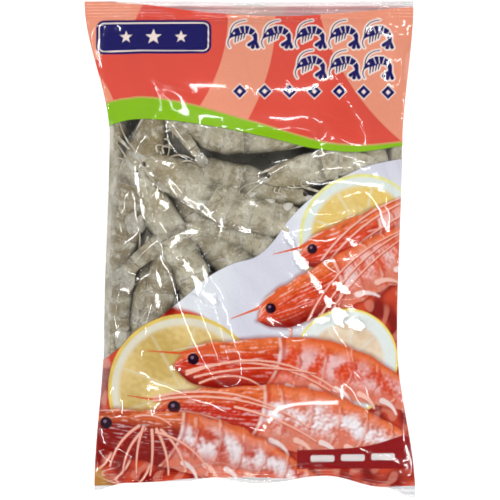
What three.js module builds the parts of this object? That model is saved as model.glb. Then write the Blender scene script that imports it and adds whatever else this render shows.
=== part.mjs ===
// A sealed pillow bag of frozen raw whole shrimp, lying on its back with the printed front up.
// The bag is one tube of clear film, sealed flat across both ends and blown out by the shrimp
// in it. It is modelled as the closed solid that the filled film encloses: narrower at the waist
// than at the flat seals, lumpy where the upper shrimp push the film up, and flat where it rests.
//
// Frame, in millimetres: +X to the bag's right, +Y towards its top seal, +Z out of its printed
// front. The origin is the centre of the footprint, on the surface that the bag rests on.

import * as THREE from "three";

// ---- Driving dimensions of the bag ----
const BAG_LENGTH = 272; // from the bottom corners to the top edge
const TOP_WIDTH = 180; // flat width of the film tube, kept by the top seal
const WAIST_WIDTH = 160; // width of the filled bag, away from its seals
const BOTTOM_WIDTH = 175.6; // the bottom seal has a few small gathers
const THICKNESS = 37; // of the filled bag under its film, without the lumps
const SEAL_THICKNESS = 1.2; // both sheets, with their crimped ribs
const TOP_SEAL_DEPTH = 10;
const BOTTOM_SEAL_DEPTH = 7;

// ---- How the filled tube is drawn in and blown out ----
const EDGE_HEIGHT = 15; // the widest line of the filled sides stands this far above the floor
const SEAL_HEIGHT = 9; // the end seals droop below that line
const SEAL_WAVE = 1.6; // how far the seals wave up and down
const WAVE_LENGTH = 19; // of that wave, over two pi
const WAVE_LAG = 4; // how much the wave turns from one end of the bag to the other, in radians
const UNDERSIDE_DEPTH = 24; // how far the back would bulge below that line, if nothing held it up
const TOP_DRAW_IN = 75; // length over which the width falls from the top seal to the waist
const BOTTOM_DRAW_IN = 85;
const TOP_RAMP = 62; // length over which the bag thickens, from each seal
const BOTTOM_RAMP = 54;
// At these shares across, the bottom edge stands this far above the lowest corner: both corners
// hang down, and the seal is a little gathered between them.
const EDGE_AT = [-1, -0.8, -0.45, -0.25, 0.02, 0.44, 0.8, 1];
const EDGE_RISE = [4.6, 8.4, 9.2, 11.2, 8.2, 12.4, 6, 0];
const RAMP_POWER = 0.85; // under 1 thickens the bag sooner
const CROWN_EDGE = 2.5; // the front's section across the bag: over 2 is fuller towards the sides
const CROWN_POWER = 0.62;
const BELLY_EDGE = 2.8; // and the back's
const BELLY_POWER = 0.7;
// At these heights from the middle, the bag leans this far to the right of its centre line.
const LEAN_AT = [-136, -46, 66, 136];
const LEAN = [2.8, 0.2, 3.2, -0.6];

// ---- The shrimp that lie against the front film ----
const BODY_RADIUS = 11; // half the depth of a body that lies on its side
const HEAD_SHARE = 0.36; // of a shrimp's length is its straight head shell
const LUMP_RISE = 3.2; // how far the film stands up over a shrimp that touches it
const PATH_STEPS = 16;
const TAIL_TAPER = 0.55; // by this share the body thins towards its tail
const FILM_REACH = 3; // the lifted film comes down this far beside a body
const FREE_ALONG = 1.6; // the film lies freely on the shrimp away from the seals
const FREE_ACROSS = 2; // and away from the sides
const DEPTH_AT = [0, 0.5, 1]; // shares of a shrimp's length
// x and y are the front of the head; faces is where the head points and bend how far the tail
// turns away, both in degrees; depths are how far the nose, the middle and the tail lie under the
// film. The last five lie under the printed picture.
const FRONT_SHRIMP = [
  { x: -49, y: 76, faces: 72, bend: 30, length: 124, depths: [1.6, 3.0, 5.0] },
  { x: -62, y: 118, faces: 112, bend: 16, length: 76, depths: [2.5, 1.5, 1.0] },
  { x: 36, y: 63, faces: 2, bend: -70, length: 112, depths: [2.5, 2.6, 4.5] },
  { x: -60, y: 51, faces: 150, bend: 52, length: 128, depths: [2.6, 0.2, 0.0] },
  { x: -63, y: 46, faces: 118, bend: -14, length: 126, depths: [3.4, 0.2, -0.6] },
  { x: -54, y: 2, faces: 90, bend: 6, length: 118, depths: [9.0, 1.4, 2.5] },
  { x: -74, y: -92, faces: -94, bend: -8, length: 104, depths: [4.0, 4.0, 5.0] },
  { x: 37, y: -8, faces: -20, bend: 75, length: 114, depths: [6.5, 5.5, 0.6] },
  { x: 7, y: 37, faces: 196, bend: -110, length: 94, depths: [0.8, 0.6, 2.5] },
  { x: 42, y: 100, faces: 115, bend: -15, length: 110, depths: [4.0, 4.0, 4.0] },
  { x: 33, y: 27, faces: -14, bend: 20, length: 110, depths: [4.0, 4.0, 8.0] },
  { x: 26, y: -44, faces: -46, bend: -16, length: 118, depths: [1.4, 4.0, 9.0] },
  { x: 66, y: -24, faces: -24, bend: -16, length: 122, depths: [2.0, 4.0, 9.0] },
  { x: -58, y: -72, faces: -100, bend: -14, length: 110, depths: [1.2, 4.0, 9.0] },
  { x: 14, y: -104, faces: -32, bend: 40, length: 122, depths: [0.6, 0.8, 1.0] },
  { x: 66, y: -92, faces: -64, bend: 54, length: 118, depths: [0.8, 2.0, 8.0] },
];

// ---- Fineness of the solid's faces ----
const AROUND = 72;
const ROWS = 54;
const EVEN_SHARE = 0.6; // how evenly the columns are spread across the width

const clamp = (value, low, high) => Math.min(high, Math.max(low, value));
const mix = (from, to, share) => from + (to - from) * share;
const smooth = (share) => {
  const t = clamp(share, 0, 1);
  return t * t * (3 - 2 * t);
};
const radians = THREE.MathUtils.degToRad;

// A smooth line through a few values, level at each of them.
function through(places, values, at) {
  let line = values[0];
  for (let k = 1; k < values.length; k++) {
    const share = smooth((at - places[k - 1]) / (places[k] - places[k - 1]));
    line += (values[k] - values[k - 1]) * share;
  }
  return line;
}

// The points down the middle of a shrimp, from the front of its head to its tail: straight along
// the head shell, then on an arc.
function shrimpPath({ x, y, faces, bend, length }) {
  const points = [];
  const step = length / PATH_STEPS;
  let heading = radians(faces + 180);
  for (let i = 0; i <= PATH_STEPS; i++) {
    points.push(new THREE.Vector2(x, y));
    if (i / PATH_STEPS >= HEAD_SHARE) {
      heading += radians(bend) / (PATH_STEPS * (1 - HEAD_SHARE));
    }
    x += step * Math.cos(heading);
    y += step * Math.sin(heading);
  }
  return points;
}

// Straight between the depths of the nose, the middle and the tail.
function depthAt(depths, share) {
  const half = share < DEPTH_AT[1] ? 0 : 1;
  const within = (share - DEPTH_AT[half]) / (DEPTH_AT[half + 1] - DEPTH_AT[half]);
  return mix(depths[half], depths[half + 1], within);
}

const lumps = FRONT_SHRIMP.flatMap((shrimp) =>
  shrimpPath(shrimp).map((place, i) => ({
    place,
    rise: LUMP_RISE - depthAt(shrimp.depths, i / PATH_STEPS),
    taper: 1 - TAIL_TAPER * smooth(i / PATH_STEPS),
  })),
);

// How far the shrimp lift the front film at a place: the highest of their rounded backs.
function lumpHeight(x, y) {
  let height = 0;
  for (const { place, rise, taper } of lumps) {
    const near = Math.hypot(place.x - x, place.y - y) / (BODY_RADIUS * taper + FILM_REACH);
    if (near < 1) height = Math.max(height, rise * taper * (1 - near * near));
  }
  return height;
}

const halfWidth = (fromTop, fromBottom) => {
  const lower = mix(BOTTOM_WIDTH, WAIST_WIDTH, smooth(fromBottom / BOTTOM_DRAW_IN));
  const upper = mix(TOP_WIDTH, WAIST_WIDTH, smooth(fromTop / TOP_DRAW_IN));
  return Math.max(lower, upper) / 2;
};

// 0 in the seals, rising to 1 where the bag is full.
function fullness(fromTop, fromBottom) {
  const ramp = (distance, reach) => Math.sin((clamp(distance / reach, 0, 1) * Math.PI) / 2) ** RAMP_POWER;
  return ramp(fromTop - TOP_SEAL_DEPTH, TOP_RAMP) * ramp(fromBottom - BOTTOM_SEAL_DEPTH, BOTTOM_RAMP);
}

// The point of the film at a share of the way round the tube (0 at the right side, a quarter at
// the middle of the front) and a share of the way along it (0 at the bottom edge).
function filmPoint(round, along, target) {
  const front = round < 0.5;
  const level = front ? 1 - 4 * round : 4 * round - 3;
  const across = mix(Math.sin((level * Math.PI) / 2), level, EVEN_SHARE);
  const y = mix(through(EDGE_AT, EDGE_RISE, across), BAG_LENGTH, along) - BAG_LENGTH / 2;
  const fromTop = BAG_LENGTH * (1 - along);
  const fromBottom = BAG_LENGTH * along;
  const full = fullness(fromTop, fromBottom);
  const x = across * halfWidth(fromTop, fromBottom) + through(LEAN_AT, LEAN, y);

  const wave = SEAL_WAVE * Math.sin(x / WAVE_LENGTH + along * WAVE_LAG) * (1 - full);
  const edge = mix(SEAL_HEIGHT, EDGE_HEIGHT, smooth(full)) + wave;
  if (front) {
    const crown = (1 - Math.abs(across) ** CROWN_EDGE) ** CROWN_POWER;
    const rise = (THICKNESS - EDGE_HEIGHT) * full * crown;
    const lump = lumpHeight(x, y) * smooth(full * FREE_ALONG) * smooth(crown * FREE_ACROSS);
    return target.set(x, y, edge + SEAL_THICKNESS / 2 + rise + lump);
  }
  const belly = (1 - Math.abs(across) ** BELLY_EDGE) ** BELLY_POWER;
  const height = edge - SEAL_THICKNESS / 2 - UNDERSIDE_DEPTH * full * belly;
  return target.set(x, y, Math.max(0, height));
}

// The faces that close one end of the tube: its two sheets are joined straight through, point by
// point, from the left side to the right.
function endFaces(row, isTop) {
  const start = row * (AROUND + 1);
  const [left, steps] = [(AROUND * 3) / 4, AROUND / 2];
  const faces = [];
  for (let k = 0; k < steps; k++) {
    const [front, nextFront] = [start + ((left + k) % AROUND), start + ((left + k + 1) % AROUND)];
    const [back, nextBack] = [start + left - k, start + left - k - 1];
    if (nextFront !== nextBack) faces.push([front, nextFront, nextBack]);
    if (front !== back) faces.push([front, nextBack, back]);
  }
  return faces.flatMap((face) => (isTop ? face : face.reverse()));
}

// The film tube, from a cylinder whose every point is carried to its place on the film.
function filledBag() {
  const tube = new THREE.CylinderGeometry(1, 1, 1, AROUND, ROWS, true);
  const places = tube.getAttribute("position");
  const point = new THREE.Vector3();
  for (let i = 0; i < places.count; i++) {
    const round = Math.atan2(places.getZ(i), places.getX(i)) / (2 * Math.PI);
    filmPoint((round + 1) % 1, places.getY(i) + 0.5, point);
    places.setXYZ(i, point.x, point.y, point.z);
  }
  tube.setIndex([...tube.index.array, ...endFaces(0, true), ...endFaces(ROWS, false)]);
  tube.computeBoundingBox();
  const middle = tube.boundingBox.getCenter(new THREE.Vector3());
  tube.translate(-middle.x, -middle.y, -tube.boundingBox.min.z);
  tube.computeVertexNormals();
  return tube;
}

const film = new THREE.MeshStandardMaterial({ color: 0xb9b5a6, roughness: 0.25, metalness: 0 });
const bag = new THREE.Mesh(filledBag(), film);
bag.name = "shrimp_bag";

const part = new THREE.Group();
part.name = "bag_of_raw_shrimp";
part.add(bag);

export default part;
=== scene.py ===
import math

import bmesh
import bpy
import numpy as np
from mathutils.bvhtree import BVHTree
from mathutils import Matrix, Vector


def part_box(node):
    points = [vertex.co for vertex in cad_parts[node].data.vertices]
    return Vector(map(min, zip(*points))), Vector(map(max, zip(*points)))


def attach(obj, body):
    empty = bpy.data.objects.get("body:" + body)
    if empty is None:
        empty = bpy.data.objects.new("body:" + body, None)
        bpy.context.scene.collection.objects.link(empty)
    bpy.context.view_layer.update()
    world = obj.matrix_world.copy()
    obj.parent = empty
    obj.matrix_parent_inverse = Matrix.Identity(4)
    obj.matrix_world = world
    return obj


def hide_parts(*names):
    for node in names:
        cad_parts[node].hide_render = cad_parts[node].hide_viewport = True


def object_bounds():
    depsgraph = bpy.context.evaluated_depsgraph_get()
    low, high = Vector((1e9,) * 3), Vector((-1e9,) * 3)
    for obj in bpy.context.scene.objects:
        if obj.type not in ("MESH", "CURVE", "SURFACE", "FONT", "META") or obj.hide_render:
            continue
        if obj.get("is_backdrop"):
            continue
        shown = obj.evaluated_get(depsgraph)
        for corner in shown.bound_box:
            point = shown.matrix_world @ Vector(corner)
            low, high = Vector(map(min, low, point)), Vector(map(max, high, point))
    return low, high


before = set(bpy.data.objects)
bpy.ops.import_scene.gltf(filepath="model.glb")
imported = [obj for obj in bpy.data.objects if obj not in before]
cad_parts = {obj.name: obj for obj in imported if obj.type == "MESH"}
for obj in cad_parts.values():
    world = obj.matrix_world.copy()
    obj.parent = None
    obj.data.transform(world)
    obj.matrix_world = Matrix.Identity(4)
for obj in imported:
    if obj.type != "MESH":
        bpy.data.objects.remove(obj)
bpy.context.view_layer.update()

# ---- The form of the filled bag ----
# The bag is one flat tube of clear film, welded flat across both ends and blown out by the shrimp in
# it, so it is narrower at its waist than at its seals. All sizes below are millimetres, the same as
# the solid part's, and every mesh is brought to metres as it is written.
MM = 0.001
bag_low, bag_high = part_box("shrimp_bag")
BAG_LENGTH = (bag_high.y - bag_low.y) / MM
TOP_WIDTH = 180
WAIST_WIDTH = 160
BOTTOM_WIDTH = 175.6
THICKNESS = 37
SEAL_THICKNESS = 1.2
TOP_SEAL_DEPTH = 10
BOTTOM_SEAL_DEPTH = 7
EDGE_HEIGHT = 15
SEAL_HEIGHT = 9
SEAL_WAVE = 1.6
WAVE_LENGTH = 19
WAVE_LAG = 4
UNDERSIDE_DEPTH = 24
TOP_DRAW_IN = 75
BOTTOM_DRAW_IN = 85
TOP_RAMP = 62
BOTTOM_RAMP = 54
RAMP_POWER = 0.85
EDGE_AT = (-1, -0.8, -0.45, -0.25, 0.02, 0.44, 0.8, 1)
EDGE_RISE = (4.6, 8.4, 9.2, 11.2, 8.2, 12.4, 6, 0)
LEAN_AT = (-136, -46, 66, 136)
LEAN = (2.8, 0.2, 3.2, -0.6)
CROWN_EDGE = 2.5
CROWN_POWER = 0.62
BELLY_EDGE = 2.8
BELLY_POWER = 0.7
FLOOR_GAP = 0.3
FREED_ALONG = 1.6
FREED_ACROSS = 2


def smooth(share):
    t = np.clip(share, 0, 1)
    return t * t * (3 - 2 * t)


def mix(one, other, share):
    return one + (other - one) * share


def through(places, values, at):
    """A smooth line through a few values, level at each of them."""
    line = np.full(np.shape(at), values[0], float)
    for k in range(1, len(values)):
        line += (values[k] - values[k - 1]) * smooth((at - places[k - 1]) / (places[k] - places[k - 1]))
    return line


def bottom_edge(across):
    """How far the bottom edge stands above its lowest corner."""
    return through(EDGE_AT, EDGE_RISE, across)


def half_width(along):
    lower = mix(BOTTOM_WIDTH, WAIST_WIDTH, smooth(BAG_LENGTH * along / BOTTOM_DRAW_IN))
    upper = mix(TOP_WIDTH, WAIST_WIDTH, smooth(BAG_LENGTH * (1 - along) / TOP_DRAW_IN))
    return np.maximum(lower, upper) / 2


def lean(y):
    """How far the middle of the bag lies to the right of its centre line."""
    return through(LEAN_AT, LEAN, y)


def fullness(along):
    """0 in the seals, rising to 1 where the bag is full."""
    from_top = (BAG_LENGTH * (1 - along) - TOP_SEAL_DEPTH) / TOP_RAMP
    from_bottom = (BAG_LENGTH * along - BOTTOM_SEAL_DEPTH) / BOTTOM_RAMP
    rise = np.sin(np.clip(from_top, 0, 1) * np.pi / 2) * np.sin(np.clip(from_bottom, 0, 1) * np.pi / 2)
    return rise**RAMP_POWER


def bag_form(across, along):
    """Where the film is, at a share across (-1 to 1) and along (0 to 1): x, y, front height, back
    height, and how free the front is to lie on the shrimp (0 in seals and side folds)."""
    bottom = bottom_edge(across)
    y = bottom + (BAG_LENGTH - bottom) * along - BAG_LENGTH / 2
    x = across * half_width(along) + lean(y)
    full = fullness(along)
    wave = SEAL_WAVE * np.sin(x / WAVE_LENGTH + along * WAVE_LAG) * (1 - full)
    edge = mix(SEAL_HEIGHT, EDGE_HEIGHT, smooth(full)) + wave
    crown = np.maximum(1 - np.abs(across) ** CROWN_EDGE, 0) ** CROWN_POWER
    belly = np.maximum(1 - np.abs(across) ** BELLY_EDGE, 0) ** BELLY_POWER
    front = edge + SEAL_THICKNESS / 2 + (THICKNESS - EDGE_HEIGHT) * full * crown
    back = np.maximum(FLOOR_GAP, edge - SEAL_THICKNESS / 2 - UNDERSIDE_DEPTH * full * belly)
    return x, y, front, back, smooth(full * FREED_ALONG) * smooth(crown * FREED_ACROSS)


def place_in_bag(x, y):
    """The shares across and along the bag of places seen from above."""
    across = np.zeros(np.shape(x))
    for _ in range(3):
        bottom = bottom_edge(across)
        along = np.clip((y + BAG_LENGTH / 2 - bottom) / (BAG_LENGTH - bottom), 0, 1)
        across = np.clip((x - lean(y)) / half_width(along), -1, 1)
    return across, along


def bag_heights(x, y):
    """Front height, back height and freedom of the front at places seen from above."""
    return bag_form(*place_in_bag(x, y))[2:]


# ---- The shrimp ----
# Whole raw whiteleg shrimp, some twenty-five grams each, frozen together in two layers: each has a head
# shell, six ringed shells that overlap like roof tiles, a tail fan, legs, swimming legs and eyes.
SPINE_STEPS = 48
HEAD_SHARE = 0.36
MODEL_LENGTH = 118
BODY_HALF_DEPTH = 10.8
FLATNESS = 0.74
FILM_CLEARANCE = 0.5
LIFT = 3.2
ROLL_REACH = 7.0
ROLL_SHARE = 0.7
MOST_ACROSS = 0.965
MOST_ALONG = (0.05, 0.94)
FIRM_SHARE = 0.75
# x and y are the front of the head, faces is where the head points and bend how far the tail turns
# away, in degrees; then how deep the nose, the middle and the tail lie under the film, how brown it
# is, from 0 to 1, and how far its back is rolled up from lying on its side.
FRONT_SHRIMP = [
    (-49, 76, 72, 30, 124, (1.6, 3.0, 5.0), 1.0, 0),
    (-62, 118, 112, 16, 76, (2.5, 1.5, 1.0), 0.3, 0),
    (36, 63, 2, -70, 112, (2.5, 2.6, 4.5), 0.3, 0),
    (-60, 51, 150, 52, 128, (2.6, 0.2, 0.0), 0.2, 0),
    (-63, 46, 118, -14, 126, (3.4, 0.2, -0.6), 0.1, 30),
    (-54, 2, 90, 6, 118, (9.0, 1.4, 2.5), 0.9, 0),
    (-74, -92, -94, -8, 104, (4.0, 4.0, 5.0), 0.8, 30),
    (37, -8, -20, 75, 114, (6.5, 5.5, 0.6), 0.4, 0),
    (7, 37, 196, -110, 94, (0.8, 0.6, 2.5), 0.15, 0),
    (42, 100, 115, -15, 110, (4.0, 4.0, 4.0), 0.5, 0),
    (33, 27, -14, 20, 110, (4.0, 4.0, 8.0), 0.35, 0),
    (26, -44, -46, -16, 118, (1.4, 4.0, 9.0), 0.4, 0),
    (66, -24, -24, -16, 122, (2.0, 4.0, 9.0), 0.3, 0),
    (-58, -72, -100, -14, 110, (1.2, 4.0, 9.0), 0.9, 0),
    (14, -104, -32, 40, 122, (0.6, 0.8, 1.0), 0.5, 0),
    (66, -92, -64, 54, 118, (0.8, 2.0, 8.0), 0.4, 0),
]
BACK_COLUMNS_X = (-50, 0, 50)
BACK_ROWS_Y = (78, 26, -26, -78)
BACK_JITTER = 8
BACK_BENDS = (20, 80)
BACK_LENGTHS = (104, 120)
BACK_SUNK = 1.5
NOSE_SHARE = 0.45


class Shrimp:
    """One shrimp's place: the line down its middle, and how it rolls to follow the film."""

    def __init__(self, x, y, faces, bend, length, depths, brown, turned=0, on_back=False):
        self.length = length
        self.brown = brown
        self.share = np.linspace(0, 1, SPINE_STEPS + 1)
        bent = np.clip((self.share - HEAD_SHARE) / (1 - HEAD_SHARE), 0, 1) * math.radians(bend)
        self.heading = math.radians(faces + 180) + bent
        step = length / SPINE_STEPS
        self.x = x + np.concatenate([[0], np.cumsum(np.cos(self.heading[:-1]))]) * step
        self.y = y + np.concatenate([[0], np.cumsum(np.sin(self.heading[:-1]))]) * step
        self.back_side = 1 if bend >= 0 else -1
        self.turned = math.radians(turned)
        away_x = self.back_side * np.sin(self.heading)
        away_y = -self.back_side * np.cos(self.heading)
        half = body_half_depth(self.share) * length / MODEL_LENGTH
        half *= math.hypot(FLATNESS * math.cos(self.turned), math.sin(self.turned))
        sunk = np.interp(self.share, (0, 0.5, 1), depths)

        def height_in_bag(x, y):
            front, back, free = bag_heights(x, y)
            top = front - half - FILM_CLEARANCE + (LIFT - sunk) * free
            low = back + half + FILM_CLEARANCE
            return low + sunk if on_back else np.maximum(top, (front + back) / 2)

        self.z = height_in_bag(self.x, self.y)
        reach_x, reach_y = away_x * ROLL_REACH, away_y * ROLL_REACH
        high_side = height_in_bag(self.x + reach_x, self.y + reach_y)
        low_side = height_in_bag(self.x - reach_x, self.y - reach_y)
        slope = np.arctan2(high_side - low_side, 2 * ROLL_REACH)
        self.roll = slope * ROLL_SHARE + self.turned * (-1 if on_back else 1)

    def lay_down(self, points):
        """Bends a straight shrimp's points (back from the nose, towards its back, up) along the line."""
        along, back, up = points.T * self.length / MODEL_LENGTH
        share = along / self.length
        heading = np.interp(share, self.share, self.heading)
        beyond = along - np.clip(along, 0, self.length)
        roll = np.interp(share, self.share, self.roll)
        side = self.back_side * (back * np.cos(roll) - up * np.sin(roll))
        x = np.interp(share, self.share, self.x) + beyond * np.cos(heading) + side * np.sin(heading)
        y = np.interp(share, self.share, self.y) + beyond * np.sin(heading) - side * np.cos(heading)
        z = np.interp(share, self.share, self.z) + back * np.sin(roll) + up * np.cos(roll)
        return keep_in_bag(np.stack([x, y, z], 1))


def keep_in_bag(points):
    """Presses points that would stand out of the bag back under its film."""
    x, y, z = points.T
    across, along = place_in_bag(x, y)
    along = np.clip(along, *MOST_ALONG)
    x, y, front, back, free = bag_form(np.clip(across, -MOST_ACROSS, MOST_ACROSS), along)
    top = front + LIFT * free - FILM_CLEARANCE
    low = back + FILM_CLEARANCE
    middle, half = (top + low) / 2, (top - low) / 2
    off = (z - middle) / half
    give = 1 - FIRM_SHARE
    pressed = FIRM_SHARE + give * np.tanh((np.abs(off) - FIRM_SHARE) / give)
    off = np.where(np.abs(off) > FIRM_SHARE, np.sign(off) * pressed, off)
    return np.stack([x, y, middle + off * half], 1)


def body_half_depth(share):
    """Half the depth of a shrimp's body from back to belly, without its shells' edges."""
    face = 1 - np.exp(-share / 0.085)
    tail = 1 - 0.62 * smooth((share - 0.38) / 0.62)
    end = np.sqrt(np.maximum(1 - np.clip((share - 0.965) / 0.035, 0, 1) ** 2, 0))
    return BODY_HALF_DEPTH * face * tail * end


SHELL_ENDS = (0, HEAD_SHARE, 0.455, 0.55, 0.645, 0.735, 0.82, 0.94, 1.0)
DENT_WAVES = 14


def shell_at(share):
    """Which shell a place along the body belongs to, and its share along that shell."""
    which = np.clip(np.searchsorted(SHELL_ENDS, share, side="right") - 1, 0, len(SHELL_ENDS) - 2)
    starts = np.array(SHELL_ENDS)[which]
    ends = np.array(SHELL_ENDS)[which + 1]
    return which, (share - starts) / (ends - starts)


def crumple(share, turn, draw):
    """Soft dents and swellings all over a body, from about -1 to 1."""
    value = np.zeros(np.shape(share))
    for _ in range(DENT_WAVES):
        around, along = draw.integers(1, 6), draw.uniform(8, 44)
        value += np.sin(around * turn + draw.uniform(0, 6.3)) * np.sin(along * share + draw.uniform(0, 6.3))
    return value / math.sqrt(DENT_WAVES) / 0.8


def body_points(share, turn, draw):
    """A straight body: turn runs from the back (0) round to the belly (pi)."""
    slant = 0.006 * np.sin(turn + draw.uniform(0, 6.3)) + 0.004 * np.sin(3 * turn + draw.uniform(0, 6.3))
    which, local = shell_at(np.clip(share + slant * (share > 0.2), 0, 1))
    head = which == 0
    step = draw.uniform(0.5, 1.1, len(SHELL_ENDS))[which]
    ring_flare = step * (-0.04 + 0.07 * smooth(local * 1.15))
    flare = np.where(head, 0.03 * smooth((local - 0.86) / 0.14), ring_flare)
    low = smooth((-np.cos(turn) - 0.15) / 0.85)
    lobe = np.where(head, 0.05, 0.12) * np.sin(np.pi * np.clip(local, 0, 1)) ** 0.6 * low
    lobe = np.where(which > 5, 0.0, lobe)
    groove = 0.04 * np.exp(-(((share - 0.15 - 0.05 * np.cos(turn)) / 0.012) ** 2)) * head
    groove += 0.03 * np.exp(-(((np.abs(turn) - 1.4 - share) / 0.12) ** 2)) * head * smooth(share / 0.1)
    uneven = 0.055 * crumple(share, turn, draw)
    size = body_half_depth(share) * (1 + flare - groove + uneven)
    back = size * np.cos(turn) * (1 + lobe)
    up = size * np.sin(turn) * FLATNESS * (1 - 0.3 * low)
    return np.stack([share * MODEL_LENGTH, back, up], 1)


def ball(around, rings):
    """A closed round mesh, and each point's share from pole to pole and turn round the axis."""
    bm = bmesh.new()
    bmesh.ops.create_uvsphere(bm, u_segments=around, v_segments=rings, radius=1)
    places = np.array([vertex.co for vertex in bm.verts])
    mesh = bpy.data.meshes.new("ball")
    bm.to_mesh(mesh)
    bm.free()
    share = np.arccos(np.clip(places[:, 2], -1, 1)) / np.pi
    return mesh, share, np.arctan2(places[:, 1], places[:, 0])


def placed(name, mesh):
    """A piece in the scene: its object sits at the origin, and its place is in its mesh."""
    piece = bpy.data.objects.new(name, mesh)
    bpy.context.collection.objects.link(piece)
    return piece


def joined(name, mesh, copies, notes):
    """One piece of many copies of a small mesh: each copy's points, and values noted at its points."""
    bm = bmesh.new()
    for _ in copies:
        bm.from_mesh(mesh)
    piece = bpy.data.meshes.new(name)
    bm.to_mesh(piece)
    bm.free()
    set_points(piece, np.concatenate(copies))
    for name_of_note, values in notes.items():
        note(piece, name_of_note, values)
    bm = bmesh.new()
    bm.from_mesh(piece)
    bmesh.ops.recalc_face_normals(bm, faces=bm.faces)
    for face in bm.faces:
        face.smooth = True
    bm.to_mesh(piece)
    bm.free()
    return placed(name, piece)


def note(mesh, name, values):
    """Keeps a value for each point of a mesh, for its material to read."""
    mesh.attributes.new(name, "FLOAT", "POINT").data.foreach_set("value", np.asarray(values, np.float32))


def set_points(mesh, places):
    mesh.vertices.foreach_set("co", (places * MM).astype(np.float32).ravel())
    mesh.update()


def points_of(mesh):
    flat = np.empty(len(mesh.vertices) * 3, np.float32)
    mesh.vertices.foreach_get("co", flat)
    return flat.reshape(-1, 3).astype(float) / MM


front_layer = [Shrimp(*row) for row in FRONT_SHRIMP]
draw = np.random.default_rng(7)
back_layer = []
for row_y in BACK_ROWS_Y:
    for column_x in BACK_COLUMNS_X:
        faces = draw.uniform(0, 360)
        bend = draw.choice([-1, 1]) * draw.uniform(*BACK_BENDS)
        length = draw.uniform(*BACK_LENGTHS)
        middle_x = column_x + draw.uniform(-BACK_JITTER, BACK_JITTER)
        middle_y = row_y + draw.uniform(-BACK_JITTER, BACK_JITTER)
        nose_x = middle_x + NOSE_SHARE * length * math.cos(math.radians(faces))
        nose_y = middle_y + NOSE_SHARE * length * math.sin(math.radians(faces))
        sunk, brown = draw.uniform(0, BACK_SUNK), draw.uniform(0, 1)
        back_layer.append(Shrimp(nose_x, nose_y, faces, bend, length, (sunk, sunk, sunk), brown, 0, True))
shrimps = front_layer + back_layer

body_mesh, body_share, body_turn = ball(28, 116)
share_of_shell = shell_at(body_share)[1]
bodies = [shrimp.lay_down(body_points(body_share, body_turn, draw)) for shrimp in shrimps]
shrimp_bodies = joined(
    "shrimp_bodies",
    body_mesh,
    bodies,
    {
        "along": np.tile(body_share, len(shrimps)),
        "towards_belly": np.tile(np.abs(body_turn) / np.pi, len(shrimps)),
        "along_shell": np.tile(share_of_shell, len(shrimps)),
        "brown": np.repeat([shrimp.brown for shrimp in shrimps], len(body_share)),
    },
)

# legs, feelers and the spike over the eyes: thin round parts that follow a bent line
limb_mesh, limb_share, limb_turn = ball(6, 14)
ROUNDING = (-0.4, -0.2, 0, 0.2, 0.4)


def limb(line, thick_start, thick_end):
    """A thin part along a line of points (back from the nose, towards the back, up)."""
    line = np.array(line, float)
    at = limb_share * (len(line) - 1)

    def on_line(at):
        spread = []
        for off in ROUNDING:
            spread.append(np.stack([np.interp(at + off, range(len(line)), axis) for axis in line.T], 1))
        return sum(spread) / len(ROUNDING)

    way = on_line(at + 0.5) - on_line(at - 0.5)
    way /= np.linalg.norm(way, axis=1)[:, None]
    side = np.cross(way, [0, 0, 1.0])
    side /= np.maximum(np.linalg.norm(side, axis=1), 0.1)[:, None]
    over = np.cross(side, way)
    round_ends = np.sin(np.pi * np.clip(limb_share, 0.02, 0.98)) ** 0.3
    thick = mix(thick_start, thick_end, limb_share) / 2 * round_ends
    round_it = side * np.cos(limb_turn)[:, None] + over * np.sin(limb_turn)[:, None]
    return on_line(at) + round_it * thick[:, None]


leaf_mesh, leaf_share, leaf_turn = ball(10, 10)


def leaf(root, way, across, length, width, thick, widest=0.75):
    """A flat pointed part, such as a tail blade or a swimming leg."""
    way = np.array(way, float) / np.linalg.norm(way)
    across = np.array(across, float)
    across -= way * (across @ way)
    across /= np.linalg.norm(across)
    over = np.cross(way, across)
    wide = np.sin(np.pi * leaf_share**widest) ** 0.7 * width / 2
    tall = np.sin(np.pi * leaf_share) ** 0.5 * thick / 2
    centre = np.array(root, float) + way * (leaf_share * length)[:, None]
    return centre + across * (wide * np.cos(leaf_turn))[:, None] + over * (tall * np.sin(leaf_turn))[:, None]


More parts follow.
